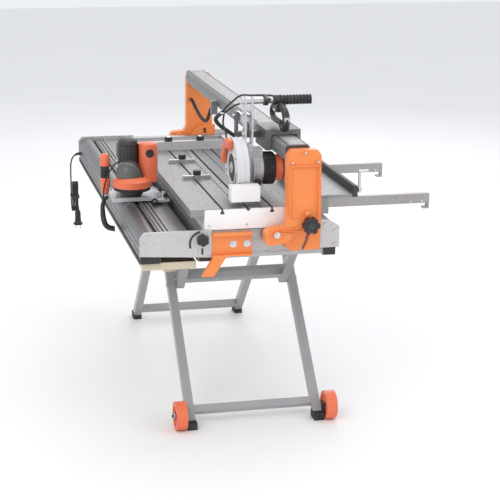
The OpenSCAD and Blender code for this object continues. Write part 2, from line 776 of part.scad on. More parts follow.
// A tube swept along a list of points, with a ring of sides at each.
sides = 10;
function unit(v) = v / norm(v);
function way(p, i) = unit(p[min(i + 1, len(p) - 1)] - p[max(i - 1, 0)]);
function side_of(t) = unit(cross(t, abs(t[0]) < 0.9 ? [1, 0, 0] : [0, 1, 0]));
module sweep(p, d) {
  ring = [for (i = [0:len(p) - 1]) let (t = way(p, i), u = side_of(t), w = cross(t, u))
    for (k = [0:sides - 1]) p[i] + d / 2 * (cos(k * 360 / sides) * u + sin(k * 360 / sides) * w)];
  n = len(p);
  polyhedron(ring, concat(
    [[for (k = [0:sides - 1]) sides - 1 - k]],
    [for (i = [0:n - 2], k = [0:sides - 1]) let (a = i * sides + k, b = i * sides + (k + 1) % sides)
      [a, b, b + sides, a + sides]],
    [[for (k = [0:sides - 1]) (n - 1) * sides + k]]));
}
// A smooth route through hand-set points.
function curve_at(p, i, t) = let (a = p[max(i - 1, 0)], b = p[i], c = p[i + 1], e = p[min(i + 2, len(p) - 1)])
  0.5 * (2 * b + (c - a) * t + (2 * a - 5 * b + 4 * c - e) * t * t + (3 * b - a - 3 * c + e) * t * t * t);
function smooth(p, n) = concat([for (i = [0:len(p) - 2], k = [0:n - 1]) curve_at(p, i, k / n)], [p[len(p) - 1]]);
cord_d = 6;
// These routes are given from the middle of the whole saw, as it stands.
cord_route = [[-504, 790, 694], [-518, 790, 693], [-536, 790, 682], [-546, 790, 656], [-548, 790, 620],
  [-548, 790, 556]];
hank_x = -535;
hank_y = 771;
plug_x = hank_x + 13;
plug_y = 790;
hank_top = 580;
hank_h = 130;
hose_d = 14;
hose_route = [[-16, 857, 900], [-16, 840, 900], [-16, 822, 899], [-18, 740, 882], [-22, 620, 868],
  [-28, 500, 870], [-36, 400, 892], [-45, 310, 934], [-50, 262, 957], [-50, 246, 962], [-50, 230, 962],
  [-50, 214, 962]];
module mains_cord() { color("#1a1a1b") sweep(smooth(cord_route, 4), cord_d); }
module cord_hank() {
  color("#1a1a1b") translate([hank_x - 16, hank_y, hank_top - hank_h]) rotate([90, 0, 90]) linear_extrude(32) {
    translate([0, 22]) circle(22);
    translate([0, hank_h - 22]) circle(22);
    translate([-22, 22]) square([44, hank_h - 44]);
  }
}
module mains_plug() {
  color("#232324") {
    translate([plug_x, plug_y, hank_top - hank_h - 56]) cylinder(d = 26, h = 56);
    translate([plug_x, plug_y, hank_top - hank_h - 0.01]) cylinder(d1 = 16, d2 = cord_d + 2, h = 20.01);
    translate([plug_x, plug_y, hank_top - hank_h - 64]) cylinder(d = 40, h = 8.01);
  }
  color("#b8b8ba") for (s = [-1, 1])
    translate([plug_x + s * 9.5, plug_y, hank_top - hank_h - 82]) cylinder(d = 4.8, h = 18.01);
}
module head_hose() { color("#1c1c1d") sweep(smooth(hose_route, 4), hose_d); }

placed() outer_beam();
placed() left_beam();
placed() right_beam();
placed() front_crossmember();
placed() rear_crossmember();
placed() end_plates();
placed() corner_brackets();
placed() bench_plate();
placed() leg_hinges();
placed() main_table();
placed() water_tray();
placed() side_tray();
placed() drain_cap();
placed() pump();
placed() side_table();
placed() side_fence();
placed() tilt_mounts();
placed() fence_bar();
placed() fence_knob_left();
placed() fence_knob_right();
placed() table_stop_rear();
placed() table_stop_front();
placed() arm_front();
placed() arm_rear();
placed() clamp_lever();
placed() front_tower();
placed() rear_tower();
placed() rail();
placed() tilt_knob_front();
placed() tilt_knob_rear();
placed() saw_carriage();
placed() head_fork();
placed() gearbox();
placed() motor_body();
placed() motor_cover();
placed() blade_guard();
placed() splash_guard();
placed() blade();
placed() saw_spindle();
placed() handle_bar();
placed() switch_handle();
placed() trigger();
placed() lock_lever();
placed() profiler_carriage();
placed() profiler_motor();
placed() profiler_cover();
placed() profiler_hood();
placed() profiler_wheel();
placed() front_legs();
placed() rear_legs();
placed() front_feet();
placed() rear_feet();
placed() front_brace();
placed() rear_brace();
placed() wheel_left();
placed() wheel_right();
mains_cord();
cord_hank();
mains_plug();
head_hose();
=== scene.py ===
import bpy
import bmesh
import json
import math
import numpy as np
from mathutils import Matrix, Vector


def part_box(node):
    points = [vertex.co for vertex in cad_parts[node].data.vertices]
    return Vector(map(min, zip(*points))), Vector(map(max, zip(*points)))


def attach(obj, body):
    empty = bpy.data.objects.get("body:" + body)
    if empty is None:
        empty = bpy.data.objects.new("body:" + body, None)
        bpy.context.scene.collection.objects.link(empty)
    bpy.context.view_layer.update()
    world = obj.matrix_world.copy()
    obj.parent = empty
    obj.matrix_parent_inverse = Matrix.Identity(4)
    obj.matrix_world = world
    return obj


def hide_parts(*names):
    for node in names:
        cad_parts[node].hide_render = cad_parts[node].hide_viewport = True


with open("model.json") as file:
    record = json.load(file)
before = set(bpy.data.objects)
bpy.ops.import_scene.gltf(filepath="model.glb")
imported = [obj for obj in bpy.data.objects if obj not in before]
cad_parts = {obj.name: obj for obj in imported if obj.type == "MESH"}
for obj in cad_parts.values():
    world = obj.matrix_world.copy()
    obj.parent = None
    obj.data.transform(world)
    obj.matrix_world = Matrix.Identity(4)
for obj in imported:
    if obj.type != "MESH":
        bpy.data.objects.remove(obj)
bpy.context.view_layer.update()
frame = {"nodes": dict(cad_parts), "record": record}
nodes = frame["nodes"]
print("frame loaded:", len(nodes), "nodes")


# Wraps a shader socket so that sums on it add Math nodes.
class Value:
    def __init__(self, kit, socket):
        self.kit = kit
        self.socket = socket

    def combine(self, operation, first, second):
        return self.kit.add("ShaderNodeMath", {"operation": operation}, {0: first, 1: second})

    def __add__(self, other):
        return self.combine("ADD", self, other)

    def __sub__(self, other):
        return self.combine("SUBTRACT", self, other)

    def __mul__(self, other):
        return self.combine("MULTIPLY", self, other)

    def __rsub__(self, other):
        return self.combine("SUBTRACT", other, self)

    def above(self, edge):
        return self.combine("GREATER_THAN", self, edge)

    def power(self, exponent):
        return self.combine("POWER", self, exponent)


# One material, its Principled shader and the nodes that feed it.
class Finish:
    def __init__(self, name, **constants):
        self.material = bpy.data.materials.new(name)
        self.material.use_nodes = True
        self.tree = self.material.node_tree
        self.shader = self.tree.nodes["Principled BSDF"]
        for key, number in constants.items():
            self.shader.inputs[key.replace("_", " ")].default_value = number
        self.place = self.add("ShaderNodeTexCoord", {}, {}, "Object")

    def add(self, kind, settings, feeds, output=0):
        node = self.tree.nodes.new(kind)
        for key, setting in settings.items():
            if key == "stops":
                ramp = node.color_ramp
                while len(ramp.elements) < len(setting):
                    ramp.elements.new(0.5)
                for element, (place, colour) in zip(ramp.elements, setting):
                    element.position = place
                    element.color = colour
            else:
                setattr(node, key, setting)
        for key, feed in feeds.items():
            if isinstance(feed, Value):
                self.tree.links.new(feed.socket, node.inputs[key])
            else:
                node.inputs[key].default_value = feed
        return Value(self, node.outputs[output])

    def stretched(self, scale):
        return self.add("ShaderNodeMapping", {}, {"Vector": self.place, "Scale": scale})

    def noise(self, scale, detail=4, where=None):
        feeds = {"Vector": where or self.place, "Scale": scale, "Detail": detail}
        return self.add("ShaderNodeTexNoise", {}, feeds, "Fac")

    def ramp(self, value, low, high):
        return self.add("ShaderNodeMapRange", {}, {"Value": value, "From Min": low, "From Max": high})

    def mix(self, share, first, second):
        settings = {"data_type": "RGBA"}
        return self.add("ShaderNodeMix", settings, {0: share, 6: first, 7: second}, 2)

    def feed(self, name, value):
        self.tree.links.new(value.socket, self.shader.inputs[name])

    def bump(self, height, distance, strength=1.0):
        feeds = {"Height": height, "Distance": distance, "Strength": strength}
        self.feed("Normal", self.add("ShaderNodeBump", {}, feeds))


def shade(colour, factor):
    return tuple(min(1.0, c * factor) for c in colour[:3]) + (1.0,)


# Brushed or anodised metal: fine lines along one direction, soft stains and handling marks.
def brushedMetal(name, colour, along="y", rough=0.38, metal=0.85):
    finish = Finish(name, Metallic=metal)
    scale = {"x": (3, 700, 700), "y": (700, 3, 700), "z": (700, 700, 3)}[along]
    lines = finish.noise(1.0, 3, finish.stretched(scale))
    stain = finish.noise(7.0, 5)
    marks = finish.ramp(finish.noise(60.0, 6), 0.56, 0.66)
    tone = finish.mix(stain, shade(colour, 0.86), shade(colour, 1.12))
    tone = finish.mix(lines * 0.35, tone, shade(colour, 0.72))
    tone = finish.mix(marks * 0.25, tone, shade(colour, 0.6))
    finish.feed("Base Color", tone)
    finish.feed("Roughness", lines * 0.16 + stain * 0.1 + (rough - 0.12) + marks * 0.1)
    finish.bump(lines + stain * 0.3, 0.0002, 0.5)
    return finish.material


# Enamel on a sand casting: fine orange peel, small chips and a cloudy tone.
def castEnamel(name, colour, grain=420.0, rough=0.38):
    finish = Finish(name, Coat_Roughness=0.25)
    peel = finish.noise(grain, 3)
    cloud = finish.noise(9.0, 4)
    chips = finish.ramp(finish.noise(95.0, 8), 0.7, 0.73)
    tone = finish.mix(cloud, shade(colour, 0.88), shade(colour, 1.1))
    tone = finish.mix(chips * 0.8, tone, (0.2, 0.13, 0.1, 1.0))
    finish.feed("Base Color", tone)
    finish.feed("Roughness", cloud * 0.14 + (rough - 0.07) + chips * 0.3)
    finish.feed("Coat Weight", 0.25 - chips * 0.25)
    finish.bump(peel + cloud * 0.4 - chips * 0.7, 0.0004, 0.45)
    return finish.material


# Moulded plastic: fine spark-eroded grain with faint scuffs and a slight flow tone.
def mouldedPlastic(name, colour, rough=0.5, grain=900.0, scuff=0.35):
    finish = Finish(name)
    pits = finish.noise(grain, 2)
    cloud = finish.noise(12.0, 4)
    scuffs = finish.ramp(finish.noise(1.0, 6, finish.stretched((40, 160, 90))), 0.6, 0.72)
    tone = finish.mix(cloud, shade(colour, 0.9), shade(colour, 1.08))
    tone = finish.mix(scuffs * scuff, tone, shade([c * 0.7 + 0.12 for c in colour], 1.0))
    finish.feed("Base Color", tone)
    finish.feed("Roughness", pits * 0.12 + (rough - 0.06) + scuffs * 0.15)
    finish.bump(pits + scuffs * 0.4, 0.0002, 0.4)
    return finish.material


# Natural cast aluminium: mottled grey with a coarse blasted skin.
def blastedCasting(name, colour, rough=0.5, metal=0.75):
    finish = Finish(name, Metallic=metal)
    skin = finish.noise(650.0, 5)
    cloud = finish.noise(16.0, 5)
    pits = finish.ramp(finish.noise(300.0, 2), 0.64, 0.7)
    tone = finish.mix(cloud, shade(colour, 0.85), shade(colour, 1.12))
    tone = finish.mix(pits * 0.5, tone, shade(colour, 0.5))
    finish.feed("Base Color", tone)
    finish.feed("Roughness", cloud * 0.2 + (rough - 0.1) + pits * 0.2)
    finish.bump(skin - pits, 0.0004, 0.5)
    return finish.material


# Rubber: dull, dusty on top with a fine tooth.
def dullRubber(name, colour, rough=0.72):
    finish = Finish(name)
    tooth = finish.noise(1200.0, 2)
    dust = finish.ramp(finish.noise(30.0, 5), 0.45, 0.75)
    finish.feed("Base Color", finish.mix(dust * 0.3, shade(colour, 1.0), (0.2, 0.19, 0.18, 1.0)))
    finish.feed("Roughness", dust * 0.15 + tooth * 0.08 + (rough - 0.05))
    finish.bump(tooth, 0.0002, 0.5)
    return finish.material


# Ground blade steel: rings round the spindle and a dark gritty rim of fine segments.
def bladeSteel(name, axisY, axisZ, radius):
    finish = Finish(name, Metallic=0.9)
    placeY = finish.add("ShaderNodeSeparateXYZ", {}, {"Vector": finish.place}, 1) - axisY
    placeZ = finish.add("ShaderNodeSeparateXYZ", {}, {"Vector": finish.place}, 2) - axisZ
    reach = (placeY * placeY + placeZ * placeZ).power(0.5)
    rings = finish.noise(1.0, 2, finish.add("ShaderNodeCombineXYZ", {}, {0: reach * 900.0}))
    rim = reach.above(radius - 0.008)
    grit = finish.noise(1500.0, 2)
    tone = finish.mix(rings, (0.42, 0.43, 0.45, 1), (0.62, 0.63, 0.65, 1))
    tone = finish.mix(rim, tone, (0.2, 0.19, 0.17, 1))
    finish.feed("Base Color", tone)
    finish.feed("Roughness", rings * 0.2 + rim * 0.35 + 0.2)
    finish.bump(rings * 0.3 + rim * grit, 0.0003, 0.5)
    return finish.material


# Base tones, then the finishes made from them.
tones = {
    "paleMetal": (0.50, 0.485, 0.49), "tableMetal": (0.34, 0.33, 0.335), "darkMetal": (0.20, 0.20, 0.205),
    "sheet": (0.62, 0.60, 0.60), "orangeCast": (0.86, 0.245, 0.055), "stand": (0.33, 0.325, 0.335),
    "orangePlastic": (0.80, 0.17, 0.075), "white": (0.86, 0.85, 0.85), "beige": (0.62, 0.54, 0.40),
    "black": (0.022, 0.022, 0.024), "charcoal": (0.045, 0.043, 0.046), "casting": (0.66, 0.66, 0.68),
}
bladeLow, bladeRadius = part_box("blade")[0], 0.09
finishes = {
    "alongBeam": brushedMetal("brushed_beam", tones["paleMetal"]),
    "bench": brushedMetal("brushed_bench", tones["tableMetal"], rough=0.42),
    "table": brushedMetal("brushed_table", tones["tableMetal"], rough=0.45, metal=0.7),
    "darkBeam": brushedMetal("dark_anodised_beam", tones["darkMetal"], rough=0.36),
    "crossBar": brushedMetal("brushed_crossbar", tones["paleMetal"], along="x"),
    "sheet": brushedMetal("satin_sheet", tones["sheet"], along="x", rough=0.5, metal=0.6),
    "arm": brushedMetal("brushed_arm", (0.42, 0.40, 0.385), along="x"),
    "orangeCast": castEnamel("orange_enamel", tones["orangeCast"]),
    "standPaint": castEnamel("grey_stand_paint", tones["stand"], grain=700.0, rough=0.35),
    "chrome": brushedMetal("bright_steel", (0.72, 0.72, 0.73), along="x", rough=0.24, metal=0.95),
    "casting": blastedCasting("blasted_casting", tones["casting"]),
    "carriage": blastedCasting("dark_casting", tones["darkMetal"]),
    "guard": castEnamel("silver_enamel", (0.70, 0.70, 0.72), grain=500.0, rough=0.34),
    "white": mouldedPlastic("white_plastic", tones["white"], rough=0.45, scuff=0.12),
    "beige": mouldedPlastic("beige_plastic", tones["beige"], rough=0.55, scuff=0.2),
    "black": mouldedPlastic("black_plastic", tones["black"], rough=0.42),
    "charcoal": mouldedPlastic("charcoal_plastic", tones["charcoal"], rough=0.5),
    "orangePlastic": mouldedPlastic("orange_plastic", tones["orangePlastic"], rough=0.36, scuff=0.15),
    "dome": mouldedPlastic("grey_dome_plastic", (0.115, 0.118, 0.108), rough=0.34, scuff=0.1),
    "railMetal": brushedMetal("dark_rail", (0.27, 0.265, 0.27), rough=0.4, metal=0.6),
    "rubber": dullRubber("black_rubber", (0.018, 0.018, 0.019)),
    "blade": bladeSteel("ground_blade", bladeLow[1] + bladeRadius, bladeLow[2] + bladeRadius,
                        bladeRadius),
}
# The CAD nodes that wear each finish.
wears = {
    "alongBeam": ["left_beam", "right_beam"],
    "railMetal": ["rail"],
    "darkBeam": ["outer_beam"],
    "crossBar": ["front_crossmember", "rear_crossmember"],
    "bench": ["bench_plate"],
    "table": ["main_table", "side_table"],
    "sheet": ["end_plates", "fence_bar"],
    "arm": ["arm_front", "arm_rear"],
    "orangeCast": ["corner_brackets", "tilt_mounts", "front_tower", "rear_tower"],
    "standPaint": ["front_legs", "rear_legs", "front_brace", "rear_brace", "leg_hinges"],
    "chrome": ["head_fork", "clamp_lever", "handle_bar", "trigger", "saw_spindle", "table_stop_rear",
               "table_stop_front"],
    "casting": ["gearbox", "profiler_carriage"],
    "carriage": ["saw_carriage"],
    "guard": ["blade_guard"],
    "white": ["water_tray", "splash_guard"],
    "beige": ["side_tray", "drain_cap"],
    "black": ["pump", "fence_knob_left", "fence_knob_right", "tilt_knob_front",
              "tilt_knob_rear", "motor_body", "switch_handle", "lock_lever", "mains_plug"],
    "charcoal": ["side_fence", "profiler_motor", "profiler_wheel"],
    "orangePlastic": ["motor_cover", "profiler_cover", "profiler_hood", "wheel_left", "wheel_right"],
    "rubber": ["front_feet", "rear_feet", "mains_cord", "cord_hank", "head_hose"],
    "blade": ["blade"],
}


# Corners of a rectangle with rounded corners, run round once against the clock.
def roundedRect(low, high, radius, steps=5):
    turn = np.linspace(0, math.pi / 2, steps)
    corners = [(high[0] - radius, high[1] - radius, 0), (low[0] + radius, high[1] - radius, 1),
               (low[0] + radius, low[1] + radius, 2), (high[0] - radius, low[1] + radius, 3)]
    arcs = [np.column_stack([x + radius * np.cos(turn + q * math.pi / 2),
                             y + radius * np.sin(turn + q * math.pi / 2)]) for x, y, q in corners]
    return np.concatenate(arcs)


# Quads between the rows of a grid of points; columns always close on themselves.
def gridFaces(rows, columns, closeRows=False):
    row = np.arange(rows if closeRows else rows - 1)[:, None]
    column = np.arange(columns)[None, :]
    nextRow, nextColumn = (row + 1) % rows, (column + 1) % columns
    quads = np.stack([row * columns + column, row * columns + nextColumn, nextRow * columns + nextColumn,
                      nextRow * columns + column], axis=-1)
    return quads.reshape(-1, 4).tolist()


# Rings of points joined in order into one closed skin, with flat ends or wrapped round.
def skin(rings, closeRows=False):
    rows, columns = rings.shape[:2]
    faces = gridFaces(rows, columns, closeRows)
    if not closeRows:
        faces.append(list(range(columns))[::-1])
        faces.append(list(range((rows - 1) * columns, rows * columns)))
    return rings.reshape(-1, 3), faces


# Turns (a, b, along) into x, y, z for a shape that runs along the named axis.
def aligned(across, up, along, axis):
    order = {"x": (along, across, up), "y": (up, along, across), "z": (across, up, along)}[axis]
    return np.stack(np.broadcast_arrays(*order), axis=-1)


# A profile of (radius, distance) pairs turned round an axis through the centre.
def turned(profile, centre, axis="z", steps=48, wrapped=False, lobes=0, depth=0.0):
    profile = np.asarray(profile, dtype=float)
    angle = np.linspace(0, 2 * math.pi, steps, endpoint=False)[None, :]
    radius = profile[:, 0:1] * (1 + depth * np.cos(lobes * angle))
    rings = aligned(radius * np.cos(angle), radius * np.sin(angle), profile[:, 1:2], axis)
    return skin(rings + np.asarray(centre), wrapped)


# A profile whose distances are counted from a start, one way or the other along the axis.
def measured(start, profile, sign=1):
    return [(radius, start + sign * distance) for radius, distance in profile]


# An outline carried straight along an axis from one place to another.
def extruded(outline, start, end, axis="y"):
    outline = np.asarray(outline, dtype=float)
    rings = aligned(outline[None, :, 0], outline[None, :, 1], np.array([[start], [end]]), axis)
    return skin(rings)


# A solid block with rounded upright edges, from its lowest to its highest corner.
def block(low, high, radius=0.002, axis="z"):
    a, b, c = {"x": (1, 2, 0), "y": (2, 0, 1), "z": (0, 1, 2)}[axis]
    radius = min(radius, 0.49 * min(high[a] - low[a], high[b] - low[b]))
    return extruded(roundedRect((low[a], low[b]), (high[a], high[b]), radius), low[c], high[c], axis)


# A smooth line through given points: the usual four-point spline, computed for all spans at once.
def smoothLine(points, steps=8):
    points = np.asarray(points, dtype=float)
    padded = np.vstack([points[:1], points, points[-1:]])
    t = np.linspace(0, 1, steps, endpoint=False)[None, :, None]
    a, b, c, d = (padded[k:len(padded) - 3 + k][:, None, :] for k in range(4))
    line = 0.5 * (2 * b + (c - a) * t + (2 * a - 5 * b + 4 * c - d) * t**2 + (3 * b - a - 3 * c + d) * t**3)
    return np.vstack([line.reshape(-1, 3), points[-1:]])


# A round tube along a line: each ring's frame is turned as little as possible from the one before.
def swept(line, radius, sides=12):
    line = np.asarray(line, dtype=float)
    ahead = np.gradient(line, axis=0)
    ahead /= np.linalg.norm(ahead, axis=1, keepdims=True)
    side = np.cross(ahead[0], (0.0, 1.0, 0.0) if abs(ahead[0][1]) < 0.9 else (1.0, 0.0, 0.0))
    sideways = [side / np.linalg.norm(side)]
    for k in range(1, len(line)):
        side = sideways[-1] - ahead[k] * np.dot(sideways[-1], ahead[k])
        sideways.append(side / np.linalg.norm(side))
    first = np.array(sideways)
    second = np.cross(ahead, first)
    angle = np.linspace(0, 2 * math.pi, sides, endpoint=False)[None, :, None]
    radius = np.broadcast_to(radius, len(line))[:, None, None]
    return skin(line[:, None] + radius * (np.cos(angle) * first[:, None] + np.sin(angle) * second[:, None]))


# Joins closed skins into one object, gives it its finish and lets it ride on a body.
def makePiece(name, skins, finish, body, bevel=0.0, segments=2):
    points, faces, start = [], [], 0
    for skinPoints, skinFaces in skins:
        points.append(skinPoints)
        faces += [[start + k for k in face] for face in skinFaces]
        start += len(skinPoints)
    mesh = bpy.data.meshes.new(name)
    mesh.from_pydata(np.concatenate(points).tolist(), [], faces)
    return finishPiece(name, mesh, finish, body, bevel, segments)


# Cleans a mesh, turns its faces outwards, rounds its edges and smooths its shading.
def finishPiece(name, mesh, finish, body, bevel, segments, crease=35):
    work = bmesh.new()
    work.from_mesh(mesh)
    bmesh.ops.remove_doubles(work, verts=work.verts, dist=0.000002)
    bmesh.ops.recalc_face_normals(work, faces=work.faces)
    work.to_mesh(mesh)
    work.free()
    mesh.shade_smooth()
    mesh.set_sharp_from_angle(angle=math.radians(crease))
    piece = bpy.data.objects.new(name, mesh)
    bpy.context.scene.collection.objects.link(piece)
    mesh.materials.append(finishes[finish])
    if bevel:
        rounding = piece.modifiers.new("rounding", "BEVEL")
        rounding.width = bevel
        rounding.segments = segments
        rounding.limit_method = "ANGLE"
        rounding.angle_limit = math.radians(crease)
        rounding.use_clamp_overlap = True
        rounding.harden_normals = True
    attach(piece, body)
    return piece


bodyOf = {node: body for body, members in frame["record"]["behaviour"]["bodies"].items()
          for node in members}


# Rounds the edges of a CAD node on a merged copy of its mesh; the node itself is left alone.
def softened(node, finish, width):
    mesh = nodes[node].data.copy()
    work = bmesh.new()
    work.from_mesh(mesh)
    bmesh.ops.remove_doubles(work, verts=work.verts, dist=0.00001)
    bmesh.ops.dissolve_limit(work, angle_limit=math.radians(0.6), verts=work.verts, edges=work.edges)
    work.to_mesh(mesh)
    work.free()
    mesh.materials.clear()
    copy = finishPiece(node + "_soft", mesh, finish, bodyOf[node], width, 2, 32)
    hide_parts(node)
    return copy


def rotation(degrees, axis):
    return Matrix.Rotation(math.radians(degrees), 4, axis)


# Camera: turned about z, then tipped down, then rolled a little.
view = {"place": (-1.183, -5.303, 1.9085), "lens": 105.4, "down": 15.0, "turn": -13.1, "roll": 0.45}
camera = bpy.data.objects.new("camera", bpy.data.cameras.new("camera"))
bpy.context.scene.collection.objects.link(camera)
camera.data.lens = view["lens"]
camera.data.sensor_width = 36.0
camera.data.clip_end = 60.0
camera.matrix_world = (Matrix.Translation(view["place"]) @ rotation(view["turn"], "Z")
                       @ rotation(90 - view["down"], "X") @ rotation(view["roll"], "Z"))
bpy.context.scene.camera = camera

# A pale floor under a pale sky, with four disc lamps aimed at the middle of the saw.
studio = {"reach": 9, "back": 14, "aim": (0, 0, 0.6), "sky": (0.95, 0.97, 1.0, 1.0), "strength": 0.9}
floorMesh = bpy.data.meshes.new("floor")
floorMesh.from_pydata([(-studio["reach"], -studio["reach"], 0), (studio["reach"], -studio["reach"], 0),
                       (studio["reach"], studio["back"], 0), (-studio["reach"], studio["back"], 0)], [],
                      [(0, 1, 2, 3)])
floor = bpy.data.objects.new("floor", floorMesh)
bpy.context.scene.collection.objects.link(floor)
floorFinish = Finish("pale_floor", Roughness=0.7)
floorTone = floorFinish.mix(floorFinish.noise(1.5, 3), (0.84, 0.84, 0.84, 1), (0.88, 0.88, 0.88, 1))
floorFinish.feed("Base Color", floorTone)
floorMesh.materials.append(floorFinish.material)

lamps = {
    "key": {"place": (-3.2, -3.6, 4.2), "size": 3.2, "power": 82},
    "fill": {"place": (3.8, -3.2, 2.6), "size": 3.4, "power": 45},
    "top": {"place": (0.2, 0.6, 4.6), "size": 4.0, "power": 42},
    "rear": {"place": (1.5, 4.2, 3.2), "size": 3.0, "power": 40},
}
for name, lamp in lamps.items():
    light = bpy.data.lights.new(name, "AREA")
    light.shape = "DISK"
    light.size = lamp["size"]
    light.energy = lamp["power"]
    holder = bpy.data.objects.new(name, light)
    bpy.context.scene.collection.objects.link(holder)
    toTarget = Vector(studio["aim"]) - Vector(lamp["place"])
    facing = toTarget.to_track_quat("-Z", "Y").to_matrix().to_4x4()
    holder.matrix_world = Matrix.Translation(lamp["place"]) @ facing
world = bpy.data.worlds.new("studio")
world.use_nodes = True
background = world.node_tree.nodes["Background"]
background.inputs["Color"].default_value = studio["sky"]
background.inputs["Strength"].default_value = studio["strength"]
bpy.context.scene.world = world
bpy.context.scene.view_settings.view_transform = "Standard"
print("camera, floor and lights placed")

# Mains cord: out of the outer beam, down into a hank of four turns, and into the plug below it.
mains = {"width": 0.006, "turns": 4, "bend": 0.019, "low": 0.472, "high": 0.558, "y": 0.771,
         "firstX": -0.548, "lastX": -0.522}
mainsRoute = [(-0.504, 0.790, 0.694), (-0.518, 0.790, 0.693), (-0.536, 0.790, 0.682),
              (-0.546, 0.790, 0.656), (-0.548, 0.790, 0.620), (-0.548, 0.790, 0.580)]


# The hank's line: straight run down, half circle under, run up, half circle over, stepping
# sideways by one cord's width in each turn; the last run goes on down into the plug.
def hankLine(values):
    half = np.linspace(0, math.pi, 13)[:-1]
    low, high, bend = values["low"], values["high"], values["bend"]
    runs = np.linspace(0, 1, 6)[:-1]
    down = np.column_stack([np.full(5, bend), high + (low - high) * runs])
    under = np.column_stack([bend * np.cos(half), low - bend * np.sin(half)])
    up = np.column_stack([np.full(5, -bend), low + (high - low) * runs])
    over = np.column_stack([-bend * np.cos(half), high + bend * np.sin(half)])
    lap = np.vstack([down, under, up, over])
    laps = np.vstack([lap] * values["turns"] + [down, [[bend, low]], [[bend, low - 0.006]]])
    share = np.minimum(np.arange(len(laps)) / (len(lap) * values["turns"]), 1.0)
    across = values["firstX"] + (values["lastX"] - values["firstX"]) * share
    return np.column_stack([across, values["y"] + laps[:, 0], laps[:, 1]])


def lineLength(line):
    return float(np.linalg.norm(np.diff(line, axis=0), axis=1).sum())


mainsLine = np.vstack([smoothLine(mainsRoute, 4)[:-1], hankLine(mains)])
mainsCord = makePiece("mains_lead", [swept(mainsLine, mains["width"] / 2, 12)], "rubber", "frame")
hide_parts("mains_cord", "cord_hank")
plugLow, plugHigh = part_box("mains_plug")
plugCentre = ((plugLow[0] + plugHigh[0]) / 2, (plugLow[1] + plugHigh[1]) / 2, 0)
plugRibs = {"count": 4, "radius": 0.0136, "taper": 0.0006, "first": 0.018, "step": 0.007, "tall": 0.0035}
pinTop = plugLow[2] + 0.018
plugProfile = measured(pinTop, [
    (0.001, 0), (0.0185, 0), (0.020, 0.002), (0.020, 0.007), (0.0155, 0.010), (0.013, 0.016), (0.0115, 0.030),
    (0.0125, 0.046), (0.0118, 0.054), (0.0078, 0.062), (0.0076, 0.0645), (0.0062, 0.065), (0.0072, 0.068),
    (0.0060, 0.0695), (0.0066, 0.073), (0.0055, 0.0745), (0.0060, 0.078), (0.0044, 0.081), (0.0031, 0.084)])
gripRings = []
for k in range(plugRibs["count"]):
    radius = plugRibs["radius"] - plugRibs["taper"] * k
    foot = pinTop + plugRibs["first"] + plugRibs["step"] * k
    gripRings.append(turned([(radius, foot), (radius, foot + plugRibs["tall"])], plugCentre, "z", 40, False,
                            10, 0.02))
plug = makePiece("plug_body", [turned(plugProfile, plugCentre, "z", 48)] + gripRings, "black", "frame",
                 0.0003)
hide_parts("mains_plug")
pinProfile = [(0.0019, plugLow[2]), (0.0024, plugLow[2] + 0.0012), (0.0024, pinTop)]
pins = [turned(pinProfile, (plugCentre[0] + side * 0.0095, plugCentre[1], 0), "z", 24) for side in (-1, 1)]
plugPins = makePiece("plug_pins", pins, "chrome", "frame")
tieOuter = roundedRect((mains["y"] - 0.0235, -0.5525), (mains["y"] + 0.0235, -0.5175), 0.004)
tieInner = roundedRect((mains["y"] - 0.0224, -0.5514), (mains["y"] + 0.0224, -0.5186), 0.003)
tieLow, tieHigh = 0.510, 0.520
tieRings = [np.column_stack([ring[:, 1], ring[:, 0], np.full(len(ring), z)])
            for ring, z in ((tieOuter, tieLow), (tieOuter, tieHigh), (tieInner, tieHigh),
                            (tieInner, tieLow))]
tie = makePiece("hank_tie", [skin(np.array(tieRings), True)], "charcoal", "frame", 0.0003)
reliefLine = smoothLine([(-0.504, 0.790, 0.694), (-0.518, 0.790, 0.693), (-0.530, 0.790, 0.687)], 8)
reliefSteps = np.arange(len(reliefLine))
reliefTaper = 0.0068 - 0.0032 * np.linspace(0, 1, len(reliefLine))
reliefWidth = reliefTaper + 0.0006 * (reliefSteps % 3 == 0)
relief = makePiece("lead_relief", [swept(reliefLine, reliefWidth, 16)], "rubber", "frame")

# Hose that carries the motor lead from the rear tower to the clip on the rail.
hose = {"width": 0.014, "rib": 0.0042, "depth": 0.0009}
hoseRoute = [(-0.016, 0.857, 0.900), (-0.016, 0.840, 0.900), (-0.016, 0.822, 0.899), (-0.018, 0.740, 0.882),
             (-0.022, 0.620, 0.868), (-0.028, 0.500, 0.870), (-0.036, 0.400, 0.892), (-0.045, 0.310, 0.934),
             (-0.050, 0.262, 0.957), (-0.050, 0.246, 0.962), (-0.050, 0.230, 0.962), (-0.050, 0.214, 0.962)]


# A ribbed hose: the tube's radius rises and falls along its line, one rib every few millimetres.
def ribbed(route, values, sides=16):
    coarse = smoothLine(route, 24)
    reach = np.concatenate([[0], np.cumsum(np.linalg.norm(np.diff(coarse, axis=0), axis=1))])
    along = np.arange(0, reach[-1], values["rib"] / 4)
    line = np.column_stack([np.interp(along, reach, coarse[:, k]) for k in range(3)])
    wave = values["depth"] * (0.5 + 0.5 * np.cos(along * 2 * math.pi / values["rib"]))
    return swept(line, values["width"] / 2 - wave, sides), line


hoseSkin, hoseLine = ribbed(hoseRoute, hose)
hosePiece = makePiece("ribbed_hose", [hoseSkin], "black", "bridge")
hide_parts("head_hose")
print("mains cord", round(lineLength(mainsLine), 3), "m and hose", round(lineLength(hoseLine), 3), "m laid")


